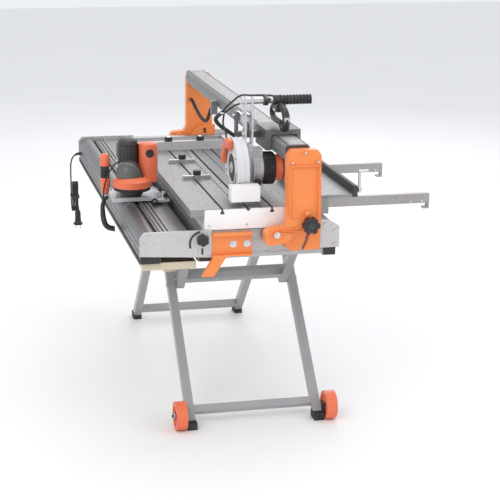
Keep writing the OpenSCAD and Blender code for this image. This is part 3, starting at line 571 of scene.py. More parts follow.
# A ring of small copies: each skin is turned about an axis through the centre by equal steps.
def around(shape, centre, axis, count, first=0.0):
    points, faces = shape
    a, b = {"x": (1, 2), "y": (2, 0), "z": (0, 1)}[axis]
    angle = (first + np.arange(count) * 2 * math.pi / count)[:, None]
    local = points - np.asarray(centre)
    copies = np.repeat(local[None], count, axis=0)
    copies[..., a] = local[None, :, a] * np.cos(angle) - local[None, :, b] * np.sin(angle)
    copies[..., b] = local[None, :, a] * np.sin(angle) + local[None, :, b] * np.cos(angle)
    return [(ring + np.asarray(centre), faces) for ring in copies]


# A hexagon screw head with a turned washer under it, its face towards plus or minus on the axis.
def hexBolt(place, size, axis="y", sign=-1, head=0.005):
    washer = [(size * 0.72, 0), (size * 0.78, 0.0004 * sign), (size * 0.78, 0.0014 * sign),
              (size * 0.70, 0.0018 * sign)]
    hexagon = [(size * 0.52, 0.0017 * sign), (size * 0.56, 0.0024 * sign),
               (size * 0.56, (head - 0.0008) * sign), (size * 0.46, head * sign), (size * 0.2, head * sign)]
    return [turned(washer, place, axis, 28), turned(hexagon, place, axis, 6)]


# A pan head screw with a socket: the profile dips in the middle.
def panScrew(place, size, axis="y", sign=-1):
    profile = [(size * 0.5, 0), (size * 0.5, size * 0.12 * sign), (size * 0.42, size * 0.28 * sign),
               (size * 0.26, size * 0.34 * sign), (size * 0.22, size * 0.34 * sign),
               (size * 0.2, size * 0.1 * sign)]
    return [turned(profile, place, axis, 28)]


# The same bolt or screw at each of a list of places.
def bolts(places, size, axis="y", sign=-1):
    return [part for place in places for part in hexBolt(place, size, axis, sign)]


def screws(places, size, axis="y", sign=-1):
    return [part for place in places for part in panScrew(place, size, axis, sign)]


# An arched strip: a rounded section (across, outwards) carried round part of a circle about x.
def arched(centre, radius, section, start, end, steps=36):
    angle = np.radians(np.linspace(start, end, steps))[:, None]
    reach = radius + section[None, :, 1]
    x = np.broadcast_to(centre[0] + section[None, :, 0], (steps, len(section)))
    return skin(np.stack([x, centre[1] + reach * np.cos(angle), centre[2] + reach * np.sin(angle)],
                         axis=-1))


# Saw head: the guard's raised rims, the oval opening with its flange and a charcoal sheet of painted shade in
# it, the nuts and the hose cover.
head = {"y": -0.668, "axis": 0.914}
headCentre = (0.0, head["y"], head["axis"])
guardLow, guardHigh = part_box("blade_guard")
guard = {"radius": 0.104, "rimInset": 0.003, "rimStart": -14, "rimEnd": 194}
guardMiddle = (guardLow[0] + guardHigh[0]) / 2
rimSection = roundedRect((-0.0022, -0.0012), (0.0022, 0.0022), 0.0012, 4)
rims = [arched((x, head["y"], head["axis"]), guard["radius"], rimSection, guard["rimStart"],
               guard["rimEnd"]) for x in (guardLow[0] + guard["rimInset"], guardMiddle,
                                          guardHigh[0] - guard["rimInset"])]

opening = {"y": -0.682, "z": 0.922, "across": 0.056, "up": 0.050, "points": 48, "lip": 0.0026,
           "spread": 0.07}
turnRound = np.linspace(0, 2 * math.pi, opening["points"], endpoint=False)
openingY = opening["y"] + opening["across"] * np.cos(turnRound)
openingZ = opening["z"] + opening["up"] * np.sin(turnRound)
lipTurn = np.linspace(0, 2 * math.pi, 8, endpoint=False)[None, :]
lipX = guardLow[0] - 0.0008 + opening["lip"] * np.sin(lipTurn)
lipGrow = 1 + opening["spread"] * np.cos(lipTurn)
lipY = opening["y"] + (openingY[:, None] - opening["y"]) * lipGrow
lipZ = opening["z"] + (openingZ[:, None] - opening["z"]) * lipGrow
lip = skin(np.stack(np.broadcast_arrays(lipX, lipY, lipZ), axis=-1), True)
makePiece("guard_rims", rims + [lip], "guard", "saw_head")
# The oval opening is closed by a thin charcoal sheet: painted shade inside the guard.
openingShade = extruded(np.column_stack([openingY, openingZ]), guardLow[0] - 0.0012, guardLow[0] + 0.0010, "x")
makePiece("guard_opening_shade", [openingShade], "charcoal", "saw_head", 0.0004)

flangeProfile = [(0.0190, 0), (0.0190, -0.0028), (0.0176, -0.0040), (0.0120, -0.0040), (0.0112, -0.0026),
                 (0.0050, -0.0026)]
flange = turned(flangeProfile, (guardLow[0] - 0.0010, opening["y"], opening["z"]), "x", 40)
flangeNut = hexBolt((guardLow[0] - 0.0034, opening["y"], opening["z"]), 0.016, "x")
makePiece("guard_flange", [flange] + flangeNut, "sheet", "saw_head", 0.0003)
nutPlaces = [(guardLow[0], head["y"] + y, head["axis"] + z)
             for y, z in ((0.055, 0.06), (-0.07, 0.05), (0.075, -0.012))]
makePiece("guard_nuts", bolts(nutPlaces, 0.009, "x"), "chrome", "saw_head")

hoseCover = {"stand": 0.008, "radius": 0.100, "start": 6, "end": 108}
coverSection = roundedRect((-0.0075, -0.030), (0.0065, 0.004), 0.004, 5)
coverArch = arched((guardLow[0] - hoseCover["stand"], head["y"], head["axis"]), hoseCover["radius"],
                   coverSection, hoseCover["start"], hoseCover["end"], 40)
makePiece("hose_cover", [coverArch], "orangePlastic", "saw_head", 0.0006)
elbowRoute = [(-0.181, -0.640, 1.012), (-0.182, -0.630, 1.034), (-0.187, -0.615, 1.060),
              (-0.180, -0.600, 1.092)]
makePiece("water_elbow", [swept(smoothLine(elbowRoute, 6), 0.0032, 10)], "black", "saw_head")

# The motor's drive ring carries cooling ribs; the end cap has four pale brush covers and a dark band.
motorLow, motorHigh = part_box("motor_body")
motor = {"ribs": 40, "ribHalf": 0.0012, "ribFoot": 0.0515, "ribTop": 0.0548, "ribStart": 0.006,
         "ribEnd": 0.036, "brushes": 4, "brushHalf": 0.011, "brushFoot": 0.0385, "brushTop": 0.0425}
rib = block((motorLow[0] + motor["ribStart"], head["y"] - motor["ribHalf"], head["axis"] + motor["ribFoot"]),
            (motorLow[0] + motor["ribEnd"], head["y"] + motor["ribHalf"], head["axis"] + motor["ribTop"]),
            0.0008, "x")
makePiece("motor_ribs", around(rib, headCentre, "x", motor["ribs"]), "black", "saw_head")
brush = block((motorHigh[0] - 0.014, head["y"] - motor["brushHalf"], head["axis"] + motor["brushFoot"]),
              (motorHigh[0] - 0.001, head["y"] + motor["brushHalf"], head["axis"] + motor["brushTop"]),
              0.002, "x")
makePiece("brush_covers", around(brush, headCentre, "x", motor["brushes"], math.radians(30)), "white",
          "saw_head", 0.0008)
bandProfile = measured(motorHigh[0], [(0.0446, -0.0175), (0.0450, -0.0170), (0.0450, -0.0135),
                                      (0.0390, -0.0085), (0.0372, -0.0085)])
makePiece("motor_band", [turned(bandProfile, headCentre, "x", 56)], "charcoal", "saw_head")

# Screws, three ribs and the round cap on the gearbox's front.
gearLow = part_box("gearbox")[0]
gear = {"screw": 0.008, "ribs": 3, "ribStep": 0.009, "ribFirst": 0.018, "ribWide": 0.0025, "ribLow": 0.880,
        "ribHigh": 0.975}
gearPlaces = [(gearLow[0] + x, gearLow[1], z)
              for x, z in ((0.008, 0.985), (0.008, 0.875), (0.040, 0.965), (0.040, 0.862))]
makePiece("gearbox_screws", screws(gearPlaces, gear["screw"]), "chrome", "saw_head")
capProfile = measured(gearLow[1], [(0.0125, 0), (0.0125, -0.006), (0.0105, -0.009), (0.004, -0.0095)])
makePiece("gearbox_cap", [turned(capProfile, (gearLow[0] + 0.030, 0, 0.876), "y", 32)], "black", "saw_head")
ribStarts = [gearLow[0] + gear["ribFirst"] + gear["ribStep"] * k for k in range(gear["ribs"])]
gearRibs = [block((x, gearLow[1] - 0.003, gear["ribLow"]),
                  (x + gear["ribWide"], gearLow[1] + 0.001, gear["ribHigh"]), 0.001) for x in ribStarts]
makePiece("gearbox_ribs", gearRibs, "casting", "saw_head", 0.0005)

# Handle: a ribbed rubber grip with an end flange, and a closed loop with the switch box in it.
handle = {"z": 1.140, "bar": 0.0112, "grip": 0.0155, "wave": 0.0012, "ribs": 9, "start": -0.004,
          "end": 0.096, "loopX": -0.010, "loop": 0.0098, "swell": 0.0026}
gripCount = handle["ribs"] * 8 + 1
gripX = np.linspace(handle["start"], handle["end"], gripCount)
gripTurn = np.linspace(0, handle["ribs"] * 2 * math.pi, gripCount)
gripWave = handle["grip"] + handle["wave"] * np.cos(gripTurn)
gripStart = [(handle["bar"], -0.0068), (0.0172, -0.0068), (0.0172, -0.0040)]
gripEnd = [(0.0170, 0.0965), (0.0166, 0.0972), (0.0060, 0.0972)]
gripSkin = turned(gripStart + list(zip(gripWave, gripX)) + gripEnd, (0, head["y"], handle["z"]), "x", 40)
gripPiece = makePiece("handle_grip", [gripSkin], "rubber", "saw_head")
loopRoute = [(handle["loopX"], y, z) for y, z in (
    (-0.668, 1.1285), (-0.700, 1.124), (-0.735, 1.117), (-0.757, 1.104), (-0.766, 1.084), (-0.758, 1.064),
    (-0.736, 1.0560), (-0.716, 1.0600), (-0.698, 1.0685), (-0.640, 1.069), (-0.600, 1.071), (-0.580, 1.082),
    (-0.584, 1.100), (-0.610, 1.115), (-0.640, 1.124), (-0.668, 1.1285))]
loopLine = smoothLine(loopRoute, 6)
loopWidth = handle["loop"] + handle["swell"] * np.clip((-0.690 - loopLine[:, 1]) / 0.07, 0, 1)
loopPiece = makePiece("handle_loop", [swept(loopLine, loopWidth, 18)], "black", "saw_head")
switchBox = block((-0.026, -0.700, 1.103), (0.006, -0.640, 1.131), 0.006, "x")
collarProfile = [(handle["bar"], -0.032), (0.0150, -0.032), (0.0165, -0.029), (0.0165, -0.010),
                 (0.0150, -0.007), (handle["bar"], -0.007)]
collar = turned(collarProfile, (0, head["y"], handle["z"]), "x", 36)
switchPiece = makePiece("switch_box", [switchBox, collar], "black", "saw_head", 0.0012, 3)
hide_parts("switch_handle")
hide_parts("switch_handle")
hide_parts("switch_handle")
namePlate = block((-0.0185, -0.7772, 1.084), (-0.0015, -0.7745, 1.098), 0.002, "y")
makePiece("loop_plate", [namePlate], "sheet", "saw_head", 0.0004)

# Leads from the conduit's end to the handle, with a white tie.
leads = {"radius": 0.0030, "tieAt": (-0.186, -0.599, 1.091)}
longLead = [(-0.184, -0.600, 1.094), (-0.176, -0.612, 1.112), (-0.158, -0.632, 1.134),
            (-0.134, -0.645, 1.1545), (-0.100, -0.655, 1.1555), (-0.060, -0.656, 1.1550),
            (-0.030, -0.662, 1.1535)]
shortLead = [(-0.180, -0.606, 1.092), (-0.168, -0.622, 1.106), (-0.150, -0.640, 1.122),
             (-0.139, -0.652, 1.128)]
leadSkins = [swept(smoothLine(route, 8), leads["radius"], 10) for route in (longLead, shortLead)]
makePiece("switch_leads", leadSkins, "rubber", "saw_head")
conduitRoute = [(-0.135, -0.560, 1.004), (-0.160, -0.560, 1.022), (-0.190, -0.566, 1.045),
                (-0.205, -0.580, 1.066), (-0.197, -0.592, 1.082), (-0.184, -0.600, 1.094)]
makePiece("head_conduit", [ribbed(conduitRoute, hose)[0]], "black", "saw_head")
tieProfile = [(0.0078, -0.002), (0.0086, -0.002), (0.0086, 0.002), (0.0078, 0.002)]
makePiece("lead_tie", [turned(tieProfile, leads["tieAt"], "z", 20, True)], "white", "saw_head")
forkPlaces = [(-0.129, head["y"] + y, z) for y, z in ((0, 1.100), (0, 1.030), (0.092, 1.076))]
makePiece("fork_bolts", bolts(forkPlaces, 0.012, "x"), "chrome", "saw_head")
print("saw head detailed")


# A lobed knob: a turned profile whose radius swells a few times round, on a plain collar.
def lobedKnob(place, radius, height, axis="y", sign=-1, lobes=7):
    collar = [(radius * 0.45, 0), (radius * 0.5, height * 0.12 * sign), (radius * 0.5, height * 0.3 * sign)]
    crown = [(radius * 0.72, height * 0.26 * sign), (radius * 0.9, height * 0.34 * sign),
             (radius * 0.93, height * 0.6 * sign), (radius * 0.86, height * 0.86 * sign),
             (radius * 0.7, height * 0.97 * sign), (radius * 0.3, height * sign)]
    dish = [(radius * 0.28, height * 0.9 * sign), (radius * 0.26, height * 1.03 * sign),
            (radius * 0.1, height * 1.06 * sign)]
    return [turned(collar, place, axis, 32), turned(crown, place, axis, 84, False, lobes, 0.09),
            turned(dish, place, axis, 32)]


# Profiling unit on the bench: dome, hood seam, brush ring, belt cover, motor cap and bands.
unit = {"hoodX": -0.454, "hoodY": -0.346, "domeShift": -0.012, "motorX": -0.460, "motorY": -0.296}
hoodCentre = (unit["hoodX"], unit["hoodY"], 0)
motorCentre = (unit["motorX"], unit["motorY"], 0)
domeProfile = [(0.0445, 0.8335), (0.0450, 0.840), (0.0432, 0.846), (0.0425, 0.852), (0.0395, 0.864),
               (0.0345, 0.874), (0.0265, 0.882), (0.0160, 0.8875), (0.0040, 0.8895)]
dome = turned(domeProfile, (unit["hoodX"] + unit["domeShift"], unit["hoodY"], 0), "z", 56)
makePiece("profiler_dome", [dome], "dome", "profiler", 0.0006)
seamProfile = [(0.0648, 0.8015), (0.0668, 0.8025), (0.0668, 0.8055), (0.0648, 0.8065)]
makePiece("hood_seam", [turned(seamProfile, hoodCentre, "z", 72, True)], "orangePlastic", "profiler")
bristles = {"count": 96, "inner": 0.0600, "outer": 0.0642, "half": 0.0017, "low": 0.7875, "high": 0.8005}
tuft = block((unit["hoodX"] + bristles["inner"], unit["hoodY"] - bristles["half"], bristles["low"]),
             (unit["hoodX"] + bristles["outer"], unit["hoodY"] + bristles["half"], bristles["high"]),
             0.0008)
holderProfile = [(0.0590, 0.7965), (0.0652, 0.7965), (0.0652, 0.8000), (0.0590, 0.8000)]
holder = turned(holderProfile, hoodCentre, "z", 72, True)
makePiece("hood_brush", around(tuft, hoodCentre, "z", bristles["count"]) + [holder], "rubber", "profiler")

coverLow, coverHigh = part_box("profiler_cover")
cover = {"x": (coverLow[0] + coverHigh[0]) / 2, "portZ": 0.914, "crownBack": 0.033}
portProfile = measured(coverLow[1], [(0.0145, 0.002), (0.0145, -0.0014), (0.0122, -0.0022),
                                     (0.0112, -0.0010), (0.0030, -0.0006)])
makePiece("cover_port", [turned(portProfile, (cover["x"], 0, cover["portZ"]), "y", 40)], "black",
          "profiler")
crownProfile = [(0.0300, 0.9405), (0.0290, 0.9440), (0.0240, 0.9470), (0.0120, 0.9485)]
crown = turned(crownProfile, (cover["x"], coverLow[1] + cover["crownBack"], 0), "z", 48)
makePiece("cover_crown", [crown], "orangePlastic", "profiler", 0.0008)
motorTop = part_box("profiler_motor")[1][2]
motorCap = measured(motorTop, [(0.0335, -0.001), (0.0325, 0.004), (0.0260, 0.009), (0.0100, 0.011)])
makePiece("profiler_motor_cap", [turned(motorCap, motorCentre, "z", 48)], "charcoal", "profiler", 0.0008)
bands = [turned([(0.0338, z), (0.0350, z + 0.001), (0.0350, z + 0.005), (0.0338, z + 0.006)], motorCentre,
                "z", 56, True) for z in (0.850, 0.935)]
makePiece("profiler_motor_bands", bands, "black", "profiler")

# The upright grip has two orange collars, and the black bow below it guards the hand.
grip = {"x": -0.5415, "y": -0.296, "radius": 0.0152, "wave": 0.0009, "low": 0.8215, "high": 0.8645,
        "rings": 41}
gripCentre = (grip["x"], grip["y"], 0)
gripBase = [(0.0100, 0.7660), (0.0130, 0.7680), (0.0135, 0.7850), (0.0165, 0.7880), (0.0172, 0.7960),
            (0.0172, 0.8180), (0.0160, 0.8220)]
gripTop = [(0.0160, 0.8640), (0.0172, 0.8680), (0.0172, 0.8860), (0.0160, 0.9000), (0.0120, 0.9060),
           (0.0040, 0.9080)]
collars = [turned(profile, gripCentre, "z", 40) for profile in (gripBase, gripTop)]
makePiece("grip_collars", collars, "orangePlastic", "profiler", 0.0005)
gripHeight = np.linspace(grip["low"], grip["high"], grip["rings"])
gripSwell = grip["radius"] + grip["wave"] * np.cos(np.linspace(0, 12 * math.pi, grip["rings"]))
makePiece("grip_middle", [turned(list(zip(gripSwell, gripHeight)), gripCentre, "z", 40)], "rubber",
          "profiler")
bracket = block((-0.552, -0.318, 0.7560), (-0.500, -0.270, 0.7655), 0.006)
makePiece("grip_bracket", [bracket], "casting", "profiler", 0.0012)

bow = {"thin": 0.0064, "swell": 0.0032, "endY": -0.325, "endZ": 0.643}
bowRoute = [(-0.536, -0.330, 0.7605), (-0.548, -0.330, 0.752), (-0.5555, -0.330, 0.734),
            (-0.5560, -0.328, 0.708), (-0.5535, -0.326, 0.682), (-0.5470, -0.325, 0.660),
            (-0.5350, -0.325, 0.648), (-0.5180, bow["endY"], bow["endZ"])]
bowLine = smoothLine(bowRoute, 6)
bowWidth = bow["thin"] + bow["swell"] * np.clip(np.linspace(-0.3, 2.0, len(bowLine)), 0, 1)
bowEndProfile = [(0.0040, -0.5205), (0.0104, -0.5195), (0.0108, -0.5165), (0.0096, -0.5145),
                 (0.0050, -0.5138)]
bowEnd = turned(bowEndProfile, (0, bow["endY"], bow["endZ"]), "x", 28)
makePiece("hand_bow", [swept(bowLine, bowWidth, 16), bowEnd], "black", "profiler", 0.001)

# Water hose of the profiling unit, from its tap over the dome to the hood.
waterHose = {"width": 0.0056}
waterRoute = [(-0.5540, -0.340, 0.742), (-0.5545, -0.345, 0.775), (-0.5490, -0.350, 0.812),
              (-0.5350, -0.356, 0.852), (-0.5130, -0.364, 0.884), (-0.4860, -0.3975, 0.899),
              (-0.4560, -0.3985, 0.892), (-0.4340, -0.3900, 0.868), (-0.4220, -0.3800, 0.836)]
waterLine = smoothLine(waterRoute, 8)
waterPiece = makePiece("profiler_water_hose", [swept(waterLine, waterHose["width"] / 2, 10)], "rubber",
                       "profiler")

# Knobs, guide ring and bolts on the unit's base plate.
base = {"boltZ": 0.7645, "bolt": 0.009, "ringX": -0.3860, "ringZ": 0.7565}
baseKnobs = (lobedKnob((-0.4350, -0.3685, 0.7645), 0.0120, 0.016, "z", 1, 6)
             + lobedKnob((-0.3480, -0.3960, 0.7605), 0.0105, 0.020, "z", 1, 6))
makePiece("profiler_knobs", baseKnobs, "black", "profiler", 0.0004)
ringProfile = [(0.0060, -0.4140), (0.0105, -0.4145), (0.0110, -0.4170), (0.0105, -0.4195),
               (0.0060, -0.4200)]
makePiece("profiler_ring", [turned(ringProfile, (base["ringX"], 0, base["ringZ"]), "y", 32, True)], "black",
          "profiler")
boltPlaces = [(x, y, base["boltZ"]) for x in (-0.515, -0.362) for y in (-0.244, -0.366)]
makePiece("profiler_bolts", bolts(boltPlaces, base["bolt"], "z", 1), "chrome", "profiler")
print("profiling unit detailed")

# Towers: raised rims round the recess, ribs on the foot, screws, bosses, bolts and the rail's end caps.
tower = {"outer": 0.899, "left": -0.031, "right": 0.071, "low": 0.796, "high": 0.961, "rim": 0.004,
         "screw": 0.0085}
for side, name in ((-1, "front"), (1, "rear")):
    face = side * tower["outer"]
    near, far = sorted((face - side * 0.0005, face + side * 0.0022))
    rimTop = tower["high"] + 0.003
    uprights = [block((left, near, tower["low"]), (left + tower["rim"], far, rimTop), 0.001)
                for left in (tower["left"], tower["right"] - tower["rim"])]
    lintel = block((tower["left"], near, tower["high"]), (tower["right"], far, tower["high"] + 0.005), 0.001)
    footRibs = [swept([(-0.058, face + side * 0.0004, 0.7555 - 0.004 * k),
                       (-0.020, face + side * 0.0006, 0.758 - 0.007 * k),
                       (0.024 - 0.006 * k, face + side * 0.0004, 0.772 - 0.020 * k)], 0.0018, 10)
                for k in range(3)]
    makePiece(name + "_tower_rims", uprights + [lintel] + footRibs, "orangeCast", "bridge", 0.0008)
    screwPlaces = [(x, face + side * 0.004, z)
                   for x, z in ((0.020, 1.006), (-0.022, 0.976), (0.062, 0.976))]
    makePiece(name + "_tower_screws", screws(screwPlaces, tower["screw"], "y", side), "chrome", "bridge")
    bossProfile = measured(face, [(0.0085, 0), (0.0085, 0.003), (0.0065, 0.005), (0.0030, 0.005)], side)
    makePiece(name + "_tower_boss", [turned(bossProfile, (0.030, 0, 0.8085), "y", 32)], "orangeCast",
              "bridge", 0.0005)
    makePiece(name + "_pivot_bolt", hexBolt((-0.070, side * 0.9040, 0.742), 0.013, "y", side), "chrome",
              "frame")
    makePiece(name + "_stop_bolt", hexBolt((-0.060, side * 0.8400, 0.700), 0.011, "y", side), "chrome",
              "frame")
    capNear, capFar = sorted((side * 0.8568, side * 0.8585))
    railCap = block((-0.0345, capNear, 0.9755), (0.0425, capFar, 1.0225), 0.008, "y")
    makePiece(name + "_rail_cap", [railCap], "charcoal", "bridge")
print("towers detailed")

# End plates: pan screws near the corners and two hexagon bolts on each corner bracket.
plate = {"face": 0.848, "screw": 0.0140, "bolt": 0.015, "boltZ": 0.706}
cornerPlaces = ((-0.476, 0.741), (-0.495, 0.716), (-0.483, 0.690), (0.104, 0.755), (0.140, 0.735),
                (0.140, 0.690))
plateFasteners = []
for side in (-1, 1):
    face = side * plate["face"]
    plateFasteners += screws([(x, face, z) for x, z in cornerPlaces], plate["screw"], "y", side)
    plateFasteners += bolts([(x, face, plate["boltZ"]) for x in (-0.202, -0.156)], plate["bolt"], "y", side)
makePiece("plate_screws", plateFasteners, "chrome", "frame")

# The quarter slot beside the front knob is a dark arched strip, painted shade in the slot, with the knob's
# clamp under it.
quarter = {"x": -0.304, "z": 0.712, "radius": 0.040, "face": -0.8486, "start": 100, "end": 200}
slotSection = roundedRect((-0.0006, -0.0035), (0.0006, 0.0035), 0.0005, 3)
slotAngles = np.radians(np.linspace(quarter["start"], quarter["end"], 24))[:, None]
slotReach = quarter["radius"] + slotSection[None, :, 1]
slotShadePoints = aligned(quarter["x"] + slotReach * np.cos(slotAngles),
                     quarter["z"] + slotReach * np.sin(slotAngles),
                     quarter["face"] + slotSection[None, :, 0], "z")[..., [0, 2, 1]]
makePiece("quarter_slot_shade", [skin(slotShadePoints)], "charcoal", "frame")
makePiece("plate_knob", lobedKnob((quarter["x"], -0.8482, 0.727), 0.021, 0.028, "y", -1, 6), "black",
          "frame", 0.0004)
tab = block((-0.316, -0.8515, 0.668), (-0.292, -0.8480, 0.708), 0.004, "y")
makePiece("plate_tab", [tab], "sheet", "frame", 0.0005)
# The slot in the tab is a thin charcoal strip: painted shade in the slot.
tabSlotShade = block((-0.3075, -0.8522, 0.676), (-0.3005, -0.8512, 0.698), 0.003, "y")
makePiece("tab_slot_shade", [tabSlotShade], "charcoal", "frame")

# Beam ends are closed by dark caps; the outer beam has a rubber foot strip and two fine grooves along it,
# drawn as charcoal strips of painted shade.
beam = {"end": 0.8385, "capNear": 0.8395, "capFar": 0.8435, "capLow": 0.652, "capHigh": 0.6790}
caps = []
for side in (-1, 1):
    near, far = sorted((side * beam["capNear"], side * beam["capFar"]))
    caps += [block((left, near, beam["capLow"]), (right, far, beam["capHigh"]), 0.004, "y")
             for left, right in ((-0.502, -0.440), (-0.314, -0.274), (0.102, 0.142))]
makePiece("beam_caps", caps, "black", "frame", 0.0006)
footStrip = block((-0.5058, -0.838, 0.652), (-0.5035, 0.838, 0.668), 0.001, "y")
makePiece("edge_strip", [footStrip], "rubber", "frame", 0.0004)
outerGrooveShades = [block((-0.5047, -beam["end"], z), (-0.5035, 0.770, z + 0.0035), 0.0008, "y")
                for z in (0.684, 0.706)]
makePiece("beam_grooves_shade", outerGrooveShades, "charcoal", "frame")
beads = [block((x, -beam["end"], 0.7498), (x + 0.0022, beam["end"], 0.7512), 0.0006, "y")
         for x in (-0.3135, -0.2770, 0.1025, 0.1395)]
makePiece("beam_beads", beads, "alongBeam", "frame")
# The right beam's two grooves are thin charcoal strips: painted shade in the grooves.
rightGrooveShades = [block((0.1437, -beam["end"], z), (0.1449, beam["end"], z + 0.006), 0.0008, "y")
                for z in (0.672, 0.718)]
makePiece("right_beam_groove_shade", rightGrooveShades, "charcoal", "frame")
# The rail's two grooves along its top are thin charcoal strips: painted shade in the grooves.
railEnd = 0.8560
railGrooveShades = [block((x, -railEnd, 1.0256), (x + 0.0050, railEnd, 1.0264), 0.0006, "y")
              for x in (-0.0290, 0.0320)]
makePiece("rail_groove_shades", railGrooveShades, "charcoal", "bridge")

# A white sheet closes the end of the table and the tray: white plastic on the tray's wall and a painted
# highlight on the table's bright aluminium end; the slots show in it as dark keyholes of painted shade.
tableFront = {"face": -0.8385, "shadeFar": -0.8392, "shadeNear": -0.8383, "headHalf": 0.0065,
              "neckHalf": 0.0032}
whiteFrontAndHighlight = block((-0.2940, tableFront["face"], 0.7530), (-0.0160, -0.8362, 0.8188), 0.004, "y")
makePiece("table_front", [whiteFrontAndHighlight], "white", "frame", 0.0007)
# The keyholes and the blade channel's end are thin charcoal sheets: painted shade inside the slots.
keyholeShades = []
for x in (-0.236, -0.072):
    keyholeShades += [block((x - half, tableFront["shadeFar"], low), (x + half, tableFront["shadeNear"], high),
                       radius, "y")
                 for half, low, high, radius in ((tableFront["headHalf"], 0.8035, 0.8115, 0.002),
                                                 (tableFront["neckHalf"], 0.8105, 0.8192, 0.001))]
channelEndShade = [(0.8190, -0.1600), (0.8100, -0.1510), (0.8190, -0.1420)]
keyholeShades.append(extruded(channelEndShade, tableFront["shadeFar"], tableFront["shadeNear"], "y"))
makePiece("slot_end_shades", keyholeShades, "charcoal", "frame")
frontPlaces = [(x, tableFront["face"], 0.768) for x in (-0.280, -0.155, -0.030)]
makePiece("table_front_screws", screws(frontPlaces, 0.008), "chrome", "frame")

# Fine ribs along the table top between its slots, and on the side table.
ribs = {"step": 0.0125, "width": 0.0022, "low": 0.8197, "high": 0.82035, "sideStep": 0.0165,
        "sideFirst": 0.108}
ribX = np.concatenate([np.arange(start, end, ribs["step"])
                       for start, end in ((-0.331, -0.245), (-0.226, -0.188), (-0.130, -0.082),
                                          (-0.060, -0.020))])
tableRibs = [block((x, -0.8345, ribs["low"]), (x + ribs["width"], 0.2785, ribs["high"]), 0.0004, "y")
             for x in ribX]
makePiece("table_ribs", tableRibs, "table", "frame")
sideX = [ribs["sideFirst"] + ribs["sideStep"] * k for k in range(1, 8)]
sideRibs = [block((x, -0.6680, 0.8118), (x + 0.0025, -0.1160, 0.81245), 0.0004, "y") for x in sideX]
makePiece("side_table_ribs", sideRibs, "table", "frame")

# Fasteners of the extension arms and the side fence.
armZ, fenceX, fenceZ = 0.775, 0.266, 0.818
makePiece("arm_screws", screws([(0.500, -0.664, armZ), (0.460, -0.664, armZ)], 0.009), "chrome",
          "extension_front")
makePiece("rear_arm_screws", screws([(0.500, -0.142, armZ)], 0.009), "chrome", "extension_rear")
fencePlaces = [(fenceX, -0.60, fenceZ), (fenceX, -0.18, fenceZ)]
makePiece("side_fence_screws", bolts(fencePlaces, 0.010, "x", 1), "chrome", "frame")

# Stand: pivot bolts where the braces are pinned to the legs, one on each outer face.
legs = {"pinY": 0.2517, "pinZ": 0.4033, "bolt": 0.014, "frontX": (-0.3170, 0.1650),
        "rearX": (-0.3110, 0.1590)}
for name, side, faces in (("front", -1, legs["frontX"]), ("rear", 1, legs["rearX"])):
    pinBolts = []
    for x, sign in zip(faces, (-1, 1)):
        pinBolts += hexBolt((x, side * legs["pinY"], legs["pinZ"]), legs["bolt"], "x", sign)
    makePiece(name + "_stand_bolts", pinBolts, "chrome", name + "_stand")

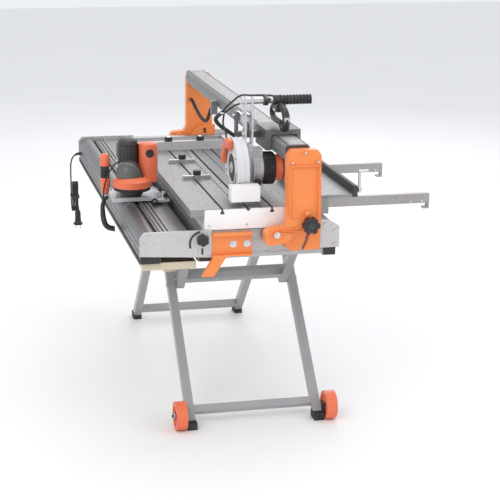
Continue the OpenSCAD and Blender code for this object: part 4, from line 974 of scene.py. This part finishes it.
# Wheels: a dark hub, eight spokes, four tread rings and the axle's nut.
wheel = {"y": -0.649, "z": 0.050, "spokes": 8, "spokeHalf": 0.0016, "spokeFoot": 0.0150, "spokeTop": 0.0372,
         "middle": 0.019, "nut": 0.012}
for name, face, sign in (("left", -0.3610, -1), ("right", 0.2090, 1)):
    centre = (0, wheel["y"], wheel["z"])
    hubProfile = measured(face, [(0.0065, -0.004), (0.0150, -0.004), (0.0160, -0.0032), (0.0155, -0.0006),
                                 (0.0070, -0.0002)], sign)
    near, far = sorted((face - sign * 0.0042, face - sign * 0.0012))
    spoke = block((near, wheel["y"] - wheel["spokeHalf"], wheel["z"] + wheel["spokeFoot"]),
                  (far, wheel["y"] + wheel["spokeHalf"], wheel["z"] + wheel["spokeTop"]), 0.0010, "z")
    makePiece(name + "_wheel_hub", [turned(hubProfile, centre, "x", 40)], "charcoal", "wheel_" + name[0],
              0.0003)
    makePiece(name + "_wheel_spokes", around(spoke, centre, "x", wheel["spokes"]), "orangePlastic",
              "wheel_" + name[0])
    middle = face - sign * wheel["middle"]
    treadProfile = [(0.0494, -0.0022), (0.0500, -0.0012), (0.0500, 0.0012), (0.0494, 0.0022)]
    tread = [turned(measured(middle + d, treadProfile), centre, "x", 64, True)
             for d in (-0.0130, -0.0043, 0.0043, 0.0130)]
    makePiece(name + "_wheel_tread", tread, "orangePlastic", "wheel_" + name[0])
    nut = hexBolt((face - sign * 0.0010, wheel["y"], wheel["z"]), wheel["nut"], "x", sign, 0.006)
    makePiece(name + "_axle_nut", nut, "chrome", "front_stand")
print("frame, table and stand detailed")

# Crowns on the fence knobs, caps on the lock knobs and ribbed tops on the table stops.
for name, body in (("left", "fence_knob_l"), ("right", "fence_knob_r")):
    low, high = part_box("fence_knob_" + name)
    crownProfile = measured(high[2], [(0.0095, -0.0005), (0.0088, 0.0016), (0.0050, 0.0024)])
    crown = turned(crownProfile, ((low[0] + high[0]) / 2, (low[1] + high[1]) / 2, 0), "z", 32)
    makePiece("fence_crown_" + name, [crown], "chrome", body)
for side, name in ((-1, "front"), (1, "rear")):
    low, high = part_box("tilt_knob_" + name)
    end = low[1] if side < 0 else high[1]
    capProfile = measured(end, [(0.0105, 0), (0.0100, 0.0008), (0.0080, 0.0014), (0.0020, 0.0015)], side)
    cap = turned(capProfile, ((low[0] + high[0]) / 2, 0, (low[2] + high[2]) / 2), "y", 32)
    makePiece("lock_crown_" + name, [cap], "charcoal", "lock_knob_" + name)
for name in ("front", "rear"):
    low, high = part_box("table_stop_" + name)
    stopProfile = measured(high[2], [(0.0134, -0.0165), (0.0139, -0.0155), (0.0139, -0.0012),
                                     (0.0124, 0.0004), (0.0020, 0.0006)])
    stopKnob = turned(stopProfile, ((low[0] + high[0]) / 2 + 0.001, (low[1] + high[1]) / 2, 0), "z", 64,
                      False, 12, 0.03)
    makePiece("stop_crown_" + name, [stopKnob], "black", "stop_" + name, 0.0003)
print("fittings detailed")

# CAD nodes: each gets its finish, and those that no piece replaces are shown as copies with rounded edges.
edgeWidth = {"splash_guard": 0.006, "water_tray": 0.003, "front_tower": 0.002, "rear_tower": 0.002}
plain = {"blade", "mains_cord", "cord_hank", "mains_plug", "head_hose"}
replaced = {name for name, node in nodes.items() if node.hide_render}
for finishName, wearers in wears.items():
    for node in wearers:
        nodes[node].data.materials.clear()
        nodes[node].data.materials.append(finishes[finishName])
        if node not in plain and node not in replaced:
            softened(node, finishName, edgeWidth.get(node, 0.0010))
print("CAD nodes finished:", sum(len(w) for w in wears.values()))
